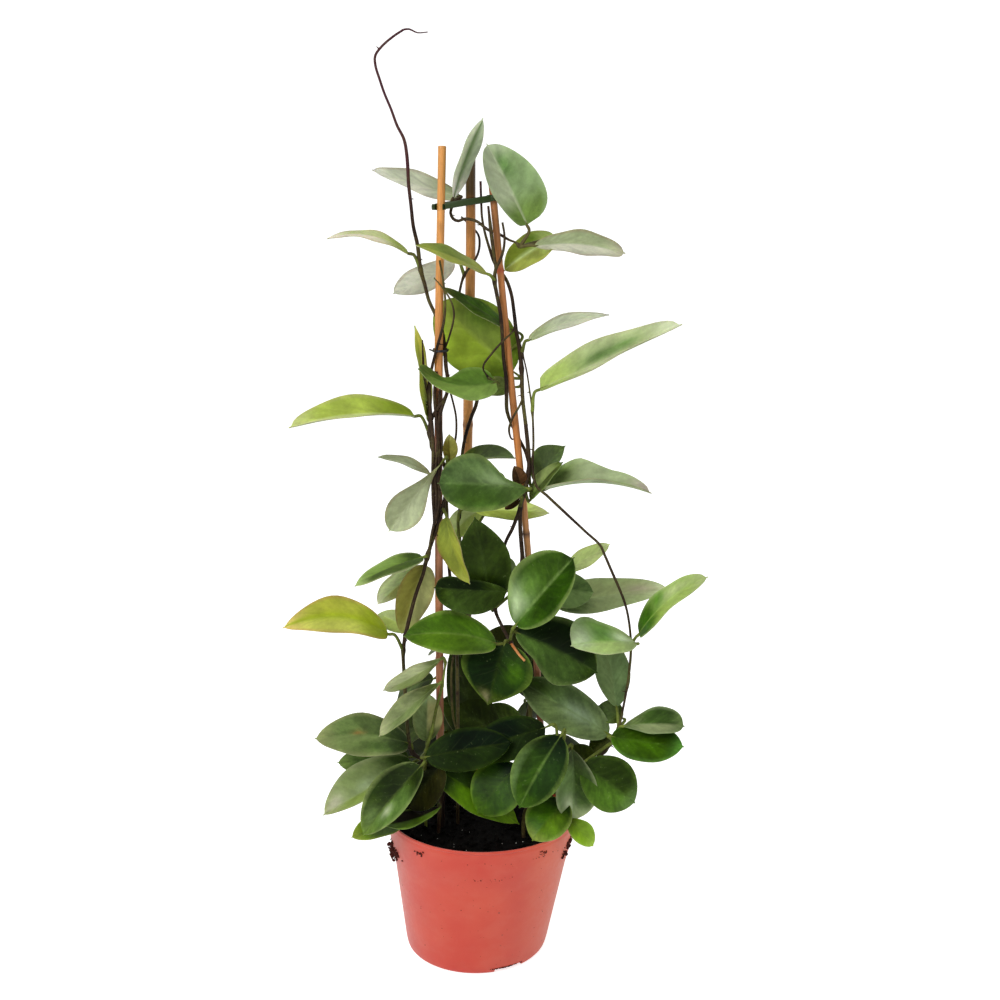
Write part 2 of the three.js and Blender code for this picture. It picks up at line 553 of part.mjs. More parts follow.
function soilSolid(cuts) {
  const edge = wallAt(SOIL_TOP) + 0.4 - POT_WALL - SOIL_GAP;
  const profile = [
    [0, POT_WALL + 0.6 + SOIL_GAP],
    [POT_FOOT_R - FOOT_ROUND - 1, POT_WALL + 0.6 + SOIL_GAP],
    [wallAt(FOOT_ROUND) - POT_WALL - SOIL_GAP - 0.3, FOOT_ROUND + POT_WALL + 0.6],
    [wallAt(SOIL_TOP - 3) - POT_WALL - SOIL_GAP - 0.2, SOIL_TOP - 4],
    [edge - 4, SOIL_TOP - 0.6],
    [40, SOIL_TOP + 1.2],
    [0, SOIL_TOP + 2],
  ];
  let solid = lathe(profile, SOIL_SIDES);
  for (const cut of cuts) solid = solid.subtract(cut);
  return solid;
}

// The clip is a three-cornered ring with an eye round each cane.
function clipSolid() {
  const corners = [[-27.5, -5.6, 599.2], [12.9, -4.6, 605.8], [-4.4, 16.2, 603.4]];
  const radii = [CANE_LEFT_R, CANE_RIGHT_R, CANE_REAR_R];
  let solid = null;
  corners.forEach(([x, y, z], i) => {
    const eye = new THREE.CylinderGeometry(radii[i] + HOLE_GAP + CLIP_WALL, radii[i] + HOLE_GAP + CLIP_WALL, CLIP_TALL, 12);
    eye.rotateX(Math.PI / 2);
    eye.translate(x, y, z);
    const made = solidOf(eye);
    solid = solid ? solid.add(made) : made;
  });
  for (const [a, b] of [[0, 1], [1, 2], [2, 0]]) {
    const from = new THREE.Vector3(...corners[a]);
    const to = new THREE.Vector3(...corners[b]);
    const span = to.clone().sub(from);
    const bar = new THREE.BoxGeometry(span.length(), CLIP_WALL, CLIP_TALL);
    const along = span.clone().normalize();
    const side = new THREE.Vector3(0, 0, 1).cross(along).normalize();
    const basis = new THREE.Matrix4().makeBasis(along, side, along.clone().cross(side));
    const outward = side.clone().multiplyScalar(-(Math.min(radii[a], radii[b]) + 0.8));
    bar.applyMatrix4(basis.setPosition(from.add(to).multiplyScalar(0.5).add(outward)));
    solid = solid.add(solidOf(bar));
  }
  for (const [name, cane] of Object.entries(CANES)) {
    solid = solid.subtract(tube(cane.path, cane.r + HOLE_GAP, 10, 0.5).solid);
  }
  return solid;
}

function tieSolid() {
  const ring = new THREE.TorusGeometry(8.7, 0.6, 5, 16);
  ring.translate(-28.2, -12.6, 493.5);
  return solidOf(ring);
}

const canes = {};
const holes = [];
for (const [name, cane] of Object.entries(CANES)) {
  canes[name] = tube(cane.path, cane.r, 10, 0.5).solid;
  holes.push(tube(cane.path, cane.r + HOLE_GAP, 10, 0.5).solid);
}
for (const stems of Object.values(STEMS)) {
  for (const stem of stems) {
    if (!stem.root) continue;
    const [x, y] = stem.root;
    const hole = new THREE.CylinderGeometry(stem.r + HOLE_GAP + 1, stem.r + HOLE_GAP + 0.3, 60, 8);
    hole.rotateX(Math.PI / 2);
    hole.translate(x, y, SOIL_TOP - 15);
    holes.push(solidOf(hole));
  }
}

addNode("pot", potSolid(), COLOURS.pot);
addNode("soil", soilSolid(holes), COLOURS.soil);
for (const [name, solid] of Object.entries(canes)) addNode(name, solid, COLOURS.cane);
addNode("cane_clip", clipSolid(), COLOURS.clip);
addNode("cane_tie", tieSolid(), COLOURS.wire);
for (const name of Object.keys(STEMS)) addNode(name, leafyNode(name), COLOURS.leaf);

export default group;
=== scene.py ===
"""Potted hoya twined up three bamboo canes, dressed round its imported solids.

Leaves and stems repeat the part's own readings: (x, z, depth) in millimetres on the upright plane through
the pot's axis, which seen() puts at their depth. x runs to the viewer's right, and depth away from the
viewer.
"""

import math
import random

import bpy
import numpy as np
from mathutils import Matrix, Vector, noise


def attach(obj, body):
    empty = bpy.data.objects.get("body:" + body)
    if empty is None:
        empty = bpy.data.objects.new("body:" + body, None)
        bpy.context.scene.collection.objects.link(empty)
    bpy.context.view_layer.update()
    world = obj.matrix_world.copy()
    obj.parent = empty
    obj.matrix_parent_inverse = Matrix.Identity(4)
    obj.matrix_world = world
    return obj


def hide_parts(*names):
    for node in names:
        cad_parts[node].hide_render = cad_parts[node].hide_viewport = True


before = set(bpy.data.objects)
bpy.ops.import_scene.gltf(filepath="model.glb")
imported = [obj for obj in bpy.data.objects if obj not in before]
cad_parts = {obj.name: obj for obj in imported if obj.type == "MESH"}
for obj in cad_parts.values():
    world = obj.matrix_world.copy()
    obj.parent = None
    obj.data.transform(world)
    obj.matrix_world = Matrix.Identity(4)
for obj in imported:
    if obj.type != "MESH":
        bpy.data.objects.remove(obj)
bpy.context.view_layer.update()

MM = 0.001

# The viewer's eye and the lens that gives the photograph's framing.
EYE = np.array([18.0, -1000.0, 600.0])
LOOK_DOWN = 12.7
LENS = 46.98
SENSOR = 36

# Where each lamp stands in metres, its size and its watts, and the point that both face.
LAMPS = {"key": ((-1.3, -1.7, 1.9), 1.4, 48), "fill": ((1.6, -1.2, 1.1), 1.6, 8)}
LAMP_AIM = (0, 0, 0.3)
FLOOR_SIZE = 12
# How strongly floor and surroundings shine: on the plant, and as the camera sees them.
FLOOR_LIGHT = (0.1, 0.75)
ROOM_LIGHT = 0.22
BACKDROP_LIGHT = 0.85
BACKDROP_SEEN = 1.2

POT_HEIGHT = 118
POT_FOOT_R = 58
POT_TOP_R = 77.6
POT_WALL = 1.4
LIP_OUT = 1.8
LIP_FOOT = 88
# The wall widens gently between two heights.
WIDEN_LOW = LIP_FOOT - 10
WIDEN_HIGH = LIP_FOOT + 8
WIDEN_OUT = LIP_OUT - 0.5
# The thin pot stands a little askew: its foot's middle, and how far it leans for each mm of height.
POT_AT = np.array([-1.8, -7.5, 0.0])
POT_LEAN = 0.05
POT_STEPS = 128
# The drainage slot that shows in the foot: its middle, its size and its turn in degrees.
SLOT_AT = (25.8, -59.6, 0)
SLOT_SIZE = (25, 14, 8)
SLOT_TURN = 28

SOIL_TOP = 109
SOIL_STEPS = 120
SOIL_RINGS = 26
CLODS = 420
PERLITE_GRAINS = 18
# Peat on the pot's wall, and a row of dark crumbs along the drainage slot that is painted shade, each patch:
# how many crumbs, angle and height of its middle, its two spreads, the smallest and largest crumb, and how
# far they stand out.
PEAT_AND_SLOT_SHADE_PATCHES = (
    (34, -80, 84, 2.0, 3.0, 0.8, 2.2, 3.0),
    (40, -69, 91, 4.0, 3.2, 0.5, 1.9, 1.4),
    (14, -38, 108, 2.0, 1.4, 0.4, 1.0, 0.3),
    (22, 66, 101, 2.2, 2.4, 0.5, 1.6, 0.8),
    (16, 62, 93, 1.8, 1.8, 0.5, 1.6, 0.8),
    (14, 68, 107, 2.0, 2.0, 0.4, 1.2, 0.5),
    (14, 38, 108, 1.8, 1.8, 0.4, 1.0, 0.3),
    (18, 20, 106, 20, 1.2, 0.15, 0.45, 0),
    (22, 4, 92, 26, 1.0, 0.15, 0.42, 0),
    (50, 0, 60, 40, 26, 0.12, 0.34, 0),
    # A thin row of dark crumbs along the top of the drainage slot: painted shade for the shadow inside the
    # slot.
    (90, 23.5, 4.4, 5.5, 0.15, 0.35, 0.65, -0.4),
)

CLIP_CORNERS = {
    "cane_left": (-27.5, -5.6, 599.2), "cane_right": (12.9, -4.6, 605.8), "cane_rear": (-4.4, 16.2, 603.4),
}
CLIP_TALL = 4.4
CLIP_WALL = 2.0
CLIP_BAR_TALL = 4.8
CLIP_BAR_WALL = 2.2
CLIP_GAP = 0.3
# The first bar starts clear of the left eye, which is open at the front.
OPEN_EYE_GAP = 4.6

# The wire runs round an ellipse, with so many steps to a turn, and starts at a share of a turn.
TIE_AT = np.array([-27.0, -11.6, 493.5])
TIE_RADII = (5.7, 7.4)
TIE_WIRE_R = 0.55
TIE_STEPS = 40
TIE_START = 0.45
# How far its two turns climb, and where its short end stands from where they start.
TIE_CLIMB = 1.6
TIE_END = np.array([-3.2, -1.0, 1.2])

# A stalk bends at a share of its reach before the blade, and runs into it for a share of the blade's length.
STALK_R = 1.3
STALK_BEND = 0.25
STALK_INTO = 0.06
STEM_STEP = 2.5
JOINT_SWELL = 0.6
ROOT_SPACING = 9
# The shoot whose end has dried to orange-brown, and how many of its steps have.
DRY_SHOOT = ("vine_right", 7)
DRY_END = 8
GREEN_SHOOTS = ("stems_low_left",)

# A blade's cells across and along, its thickness at the rib and at the margin, and its least half width.
LEAF_GRID = (12, 22)
LEAF_THICK = 1.15
LEAF_EDGE = 0.45
LEAF_NARROWEST = 0.35
# How pointed a blade is at its base and at its tip, and how wide its drip tip is against half the blade.
BASE_POINT = 0.5
TIP_POINT = 0.58
DRIP_TIP = 0.075
RIB_DEPTH = 0.35
# The margin's ripple is a share of the blade's length.
RIPPLE = 0.014
# What the wax reflects is taken off a look's colours, and what the lamps leave dim is made up for.
WAX_LIGHT = np.array([0.004, 0.0045, 0.006])
PIGMENT = 1.28
PALE_RIB = np.array([0.012, 0.016, 0.008])
RIB_STRIP = 0.045
# Under this gloss a look is a leaf's underside.
DULL = 0.35

CANES = {
    "cane_left": (3.2, [(-24.6, -5, 643), (-28.2, -11.5, 500), (-29.6, -19, 320), (-30, -27, 20)]),
    "cane_right": (2.8, [(10.5, -3.5, 632), (25.3, -7, 480), (38.6, -10, 350), (50.2, -10, 200),
                         (56.5, -9, 60)]),
    "cane_rear": (3.9, [(-4.2, 14, 640), (-4.6, 18, 560), (-7.6, 28, 430), (-12, 46, 24)]),
}

# Colours of a cane from low to high, each at a height; a ring is a band at a node, with its half height. The
# colours hold painted shade: near black low down among the foliage, darker on the left cane's middle under
# its stems and on the rear cane's top under a leaf.
CANE_LOOKS = {
    "cane_left": {
        "culm": ((118, "#1A100A"), (150, "#3A2418"), (182, "#8A5234"), (300, "#A86C44"), (345, "#A06A48"),
                 (395, "#8E5A42"), (450, "#8C563C"), (485, "#D08A48"), (640, "#E09C50")),
        "rings": ((250, 2.6, "#7E4A2C"), (193, 9.0, "#B4764C")),
    },
    "cane_right": {
        "culm": ((118, "#1A100A"), (160, "#4A2A1C"), (200, "#8E4C34"), (330, "#C8905A"), (375, "#C08048"),
                 (410, "#BE7636"), (545, "#BC783E"), (560, "#B6743E"), (600, "#A66C3E"), (630, "#9C6448")),
        "rings": ((553, 2.4, "#B0482A"), (350, 2.2, "#4A2E20")),
    },
    "cane_rear": {
        "culm": ((118, "#1A100A"), (240, "#2E1E12"), (300, "#7E5434"), (390, "#B87C46"), (440, "#D8944A"),
                 (540, "#CC8C44"), (595, "#C08244"), (610, "#5C4420"), (640, "#4A3818")),
        "rings": ((430, 2.2, "#9A6438"), (250, 2.2, "#6A4630")),
    },
}

# Stems: radius, root in the soil (true x, y) or None, readings.
STEMS = {
    "vine_left": [
        (1.6, (-32, -36), [
            (-32, 112, -36), (-31, 136, -35), (-35, 149, -33), (-45, 155.5, -32), (-54, 162, -31),
            (-57, 177, -30), (-58.5, 200, -29), (-59.5, 225, -28), (-60, 250, -27), (-58, 263, -27),
            (-54, 280, -26), (-49, 298, -25.5), (-43, 315, -25), (-39.5, 329, -24.5), (-35.5, 342, -24),
            (-31, 355, -23.8), (-27, 368, -21.8), (-24.5, 382, -17), (-24, 397, -10), (-28, 408, -6.5),
            (-34, 418, -8), (-37, 428, -13), (-35, 439, -18), (-29, 449, -19.5), (-24, 456, -17),
            (-22, 466, -12), (-23.5, 480, -10), (-24.3, 493, -8), (-26.5, 508, -2.5), (-31.5, 520, -2.5),
            (-36, 530, -2), (-39, 542, -2), (-42, 553, -2), (-44, 571, -2), (-47, 585, -2),
            (-48.5, 600, -2), (-50, 615, -2), (-51, 636, -2), (-53, 648, -2), (-58, 658, -1),
            (-62, 669, 0), (-67, 681, 2), (-70, 690, 4), (-73, 700, 6), (-73, 707, 8), (-68, 713.5, 8),
            (-60, 720, 8), (-52, 725, 8),
        ]),
        (1.5, (-16.4, -22), [
            (-17, 135, -22), (-16.5, 180, -22), (-16.5, 215, -22), (-17, 250, -20), (-20, 290, -14),
            (-23.5, 335, -12), (-24, 368, -10.5), (-26, 392, -4), (-31, 406, -5), (-35, 417, -9),
            (-36, 430, -17), (-36.5, 452, -14), (-36.5, 468, -12), (-34, 480, -15.5), (-30, 495, -17.4),
            (-25.2, 512, -15.6), (-23.6, 528, -13.2), (-25, 545, -14.8), (-27.6, 560, -14.6),
        ]),
        (0.8, None, [
            (-52, 725, 8), (-48, 725.3, 8), (-42, 722.8, 8), (-34.5, 723.3, 8),
        ]),
        (0.8, None, [
            (-24.3, 493, -8), (-20, 505, -11), (-17, 519, -13), (-19, 529, -15), (-26, 540, -16.5),
            (-32, 547, -17),
        ]),
        (0.9, None, [
            (-22, 466, -12), (-18.5, 453, -12), (-16, 440, -12), (-16.5, 424, -11), (-20, 412, -10),
            (-24, 400, -10),
        ]),
        (1, None, [
            (-36.5, 452, -14), (-40, 472, -15), (-41, 486, -17), (-41.3, 500, -18),
        ]),
        (1.5, None, [
            (-36.5, 466, -12), (-36, 448, -19), (-34.5, 430, -21), (-34, 412, -21.5), (-34.5, 394, -22),
            (-34.5, 376, -23), (-34, 360, -24), (-34.5, 345, -24),
        ]),
        (1.5, None, [
            (-24, 456, -17), (-28, 444, -20.5), (-30, 430, -21), (-29.5, 415, -21.2), (-30, 400, -22),
            (-30, 384, -23), (-30.5, 368, -24), (-31, 355, -23.8),
        ]),
        (1.3, None, [
            (-31, 476, -16), (-32.5, 458, -18.5), (-31.5, 441, -20.5), (-30.2, 425, -21.5),
            (-31.5, 408, -22.5), (-32.6, 392, -23.5), (-31.8, 376, -24.5), (-33, 361, -25.5),
            (-36.5, 345, -26), (-39.5, 329, -24.5),
        ]),
        (1.1, None, [
            (-27, 470, -15.5), (-29, 452, -18.5), (-28, 436, -20), (-27.2, 420, -20.5),
            (-28.8, 402, -21.5), (-29, 386, -23), (-30.5, 368, -25.5), (-35, 350, -27),
            (-39.5, 329, -24.5),
        ]),
        (1.1, None, [
            (-17, 254, -20), (-20.5, 240, -21.5), (-21.5, 216, -22), (-20, 192, -22.5), (-16.5, 178, -22),
        ]),
    ],
    "vine_right": [
        (1.7, (46, -21), [
            (45.5, 130, -20), (43.5, 180, -18), (41, 230, -17), (38, 270, -16), (36, 300, -15.5),
            (36, 325, -15.5), (35, 338, -15.5), (34, 352, -15.5), (34, 368, -15.5), (37.5, 382, -16.5),
            (40.5, 397, -15), (40.5, 408, -13.5), (38, 434, -12.5), (35.5, 455, -11.5), (34.5, 478, -9),
            (33, 494, -7), (30.5, 506, -6), (28.8, 520, -4), (26.5, 535, -1), (22.5, 546, 1.5),
            (18, 552, 1.5), (13.4, 559, -1.5), (10, 569, -5), (6.5, 581, -6), (4.5, 592, -5), (4, 602, -4),
            (3.5, 618, -4),
        ]),
        (1.15, (42, -34), [
            (43, 114, -34), (51, 124, -36), (66, 134, -38), (80, 141, -38), (90, 148, -38),
            (100, 158, -33), (111, 173, -28), (115, 184, -25), (118.5, 202, -24), (121, 218, -23),
            (123, 237, -22), (123.5, 255, -22), (121.4, 275, -22), (118.5, 288, -22), (114.5, 299, -22),
            (107.3, 315.5, -22.5), (101.2, 329.5, -23), (97.2, 338, -24), (86, 348.6, -25),
            (71, 362.8, -26), (55, 378, -26), (46.5, 386, -21), (43.5, 400, -16), (44, 420, -14),
            (43, 445, -14), (41, 460, -13), (38.5, 476, -11), (35, 491, -9),
        ]),
        (1.5, None, [
            (40.5, 404, -14), (37.5, 414, -4), (32, 425, 1.5), (26.5, 436, -2.5), (23.3, 446, -8.5),
            (23, 457, -11.4), (22.8, 470, -11.3), (20.8, 485, -11.5), (20, 498, -12.2), (19.3, 510, -12.8),
            (18, 522, -13), (15.5, 535, -12), (13.8, 545, -12), (15, 554, -13.5), (18.5, 561, -13),
            (21, 570, -10.5), (21.3, 579, -9), (19.8, 588, -9),
        ]),
        (1.5, None, [
            (15, 554, -13.5), (13.2, 566, -12), (11, 583, -11), (9.2, 600, -9.5),
        ]),
        (0.9, None, [
            (28.8, 518, -4.5), (28.6, 508, -12), (21, 500, -16), (12, 490, -15), (5, 479, -15),
            (9, 471, -15),
        ]),
        (1, None, [
            (35.5, 455, -11.5), (33, 449, -15), (28, 440, -15.5), (25, 431, -10), (27.5, 423, -1.5),
            (31, 424, 1),
        ]),
        (1.2, None, [
            (-14, 605, 7), (-17.5, 600, 4.5), (-19, 595, 2), (-17, 590.5, 1), (-13, 589, 0),
            (-9, 590.5, -1), (0, 589, -3), (5, 585.5, -6), (9, 582.5, -8), (12, 581.5, -1),
            (14.5, 580.5, 2.5), (18, 579, 0), (25, 575, -8), (30, 573, -12), (33, 570, -13),
        ]),
        (1.5, None, [
            (34, 368, -15.5), (31, 360, -17), (28, 352, -18), (22, 339, -14), (17, 312, -8),
            (14, 286, -12), (20, 270, -19), (26, 258, -23), (30.5, 251, -36), (34, 246, -40),
            (38, 241.5, -42),
        ]),
    ],
    "vine_rear": [
        (1.5, (-12, 36), [
            (-12, 140, 35), (-14, 240, 30), (-14, 330, 24), (-12, 405, 18), (-9, 425, 16), (-4, 441, 15),
            (0, 452, 17), (1, 475, 22), (-3, 495, 31), (-11.5, 510, 26), (-13.5, 525, 18),
            (-12.5, 537, 11), (-9, 549, 9.5), (-3, 557, 9.5), (1, 564, 11), (2.6, 571, 15),
            (1.6, 579, 21.5), (-4.5, 586, 25.5), (-11, 592, 22),
        ]),
    ],
    "stems_low_left": [
        (1.4, (-42, -28), [
            (-43.5, 112, -28), (-43, 130, -30), (-44, 148, -36), (-43, 162, -38), (-38, 180, -38),
            (-34, 200, -38), (-29, 220, -37), (-26, 240, -36),
        ]),
    ],
    "stems_low_right": [
        (1.7, (37, -43), [
            (39, 110, -43), (52, 130, -42), (64, 156, -38), (70, 171, -34),
        ]),
    ],
    "stems_back_left": [
        (1.7, (-34, 28), [
            (-32.6, 150, 28), (-32, 180, 32), (-30, 210, 32), (-30, 240, 30),
        ]),
    ],
    "stems_back_right": [
        (1.7, (34, 30), [
            (33.5, 150, 30), (38, 180, 34), (43, 210, 34), (46, 240, 32),
        ]),
    ],
}


def leaf(joint, start, end, width, turn, bow, fold, peak, look_name, **own):
    """A leaf's readings: its joint on a stem, where its blade starts and ends, its shape and its look.

    turn 0 shows the upper side to the viewer, 90 has it facing up, 180 shows the underside. bow arches the
    blade, fold lifts its halves, and peak is where it is widest. own holds what only this leaf has: a blunt
    neck or tip, its drip tip, a wider or narrower high or low half, spots of painted highlight and painted
    shade with a few marks of the leaf's own, and its stalk's bend.
    """
    return joint, start, end, width, turn, bow, fold, peak, look_name, own


